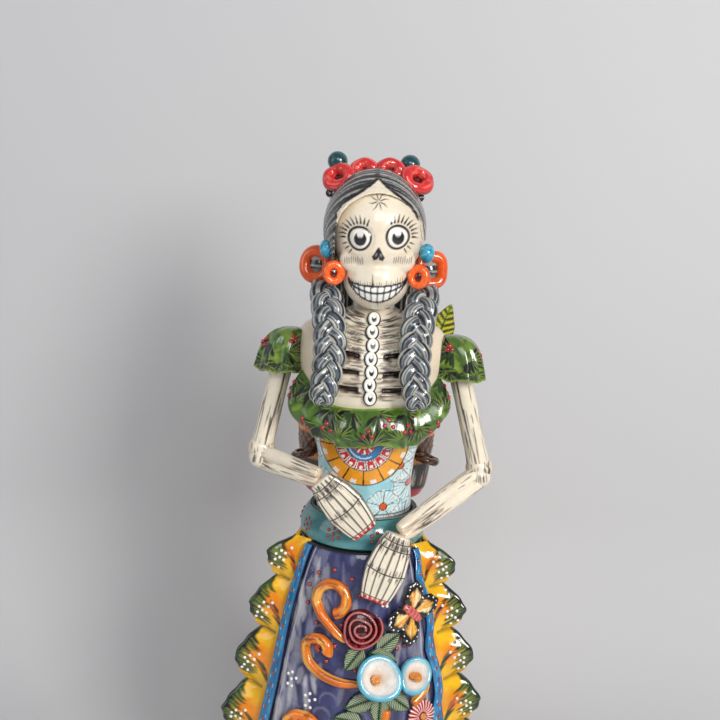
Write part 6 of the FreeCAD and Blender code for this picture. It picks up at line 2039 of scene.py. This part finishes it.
for hand, side in (("left", -1), ("right", 1)):
    axis = np.array([0.25 * side, 0.1, 1.0])
    axis = unit(axis)
    wide = np.cross([0, 1.0, 0], axis)
    wide = unit(wide)
    deep = np.cross(axis, wide)
    turns = np.linspace(0, 2 * np.pi, 20, endpoint=False)
    route = np.array([side * 58.0, 54, 353]) + np.outer(9 * np.cos(turns), wide) + np.outer(9 * np.sin(turns),
            deep)
    handle, across, up = clay_roll(f"basket_handle_{hand}_loop", route, axis,
                                   lambda u: 3.5 + 0.25 * np.sin(u * 37), sides=22, rings=70, closed=True)
    paint = ground(len(up), rgb(64, 36, 24))
    wash(paint, np.clip(np.sin(across * 18 + up * 40) - 0.3, 0, 0.6), rgb(150, 96, 56))
    coat(handle, paint)
    close_seams(handle)
    fire(handle, "torso", FLOWER_GLAZE, [f"basket_handle_{hand}"])
YELLOW_GREENS = (rgb(150, 172, 34), rgb(226, 206, 58))
blades = []
for number, (x, back, reach, lean) in enumerate([(50, -6, 34, 20), (34, 14, 26, 8), (6, 20, 30, -4),
        (-22, 16, 26, -10), (-44, -2, 20, -24)]):
    tilt = math.radians(lean)
    aim = np.array([math.sin(tilt), 0.12, math.cos(tilt)])
    foot = np.array([x, BASKET_BACK + back, 432.0]) - aim * 12
    grow = 12 if number == 0 else 0
    blades.append(clay_leaf(f"basket_blade_{number}", foot, aim, (0, -1, 0), 36 + reach + grow,
                            19 + grow * 1.2, wall=3.0, rows=70, lift=1.0, hatch=13, tones=YELLOW_GREENS))
bed, local = lump("basket_bed", (0, BASKET_BACK, 419), UPRIGHT, [58, 29, 15], detail=5)
bed_points = places(bed)
bed_points[:, 2] += 1.6 * np.sin(bed_points[:, 0] * 0.35) * np.sin(bed_points[:, 1] * 0.4) * (local[:, 2] > 0)
bed_points[:, 1] = np.maximum(bed_points[:, 1], 48.5)
move_to(bed, bed_points)
paint = ground(len(local), DEEP_GREEN)
wash(paint, np.clip(np.sin(bed_points[:, 0] * 0.7 + bed_points[:, 1]) - 0.2, 0, 0.7), rgb(170, 176, 40))
coat(bed, paint)
leaves = join("basket_greens", blades + [bed])
fire(leaves, "torso", FLOWER_GLAZE, ["basket_leaves"])
blooms = []
for number, (x, back) in enumerate([(-28, -4), (-2, 2), (22, -6)]):
    aim = np.array([x * 0.012, -0.25, 1.0])
    aim = unit(aim)
    foot = np.array([x, BASKET_BACK + back, 433.0])
    blooms.append(lily(f"basket_lily_{number}", foot, aim, (0, 1, 0.2), 0.8))
    route = [foot + aim * 2, foot + aim * 6, foot + aim * 10, foot + aim * 13.5 + [0, -1, 0]]
    finger, across, up = clay_roll(f"basket_finger_{number}", route, (0, -1, 0),
                                   lambda u: 2.1 * rounded(u, 0.2, 0.2), sides=14, rings=26)
    coat(finger, ground(len(up), rgb(236, 146, 30)))
    close_seams(finger)
    blooms.append(finger)
blooms = join("basket_bouquet", blooms)
fire(blooms, "torso", GLAZE, ["basket_lilies"])
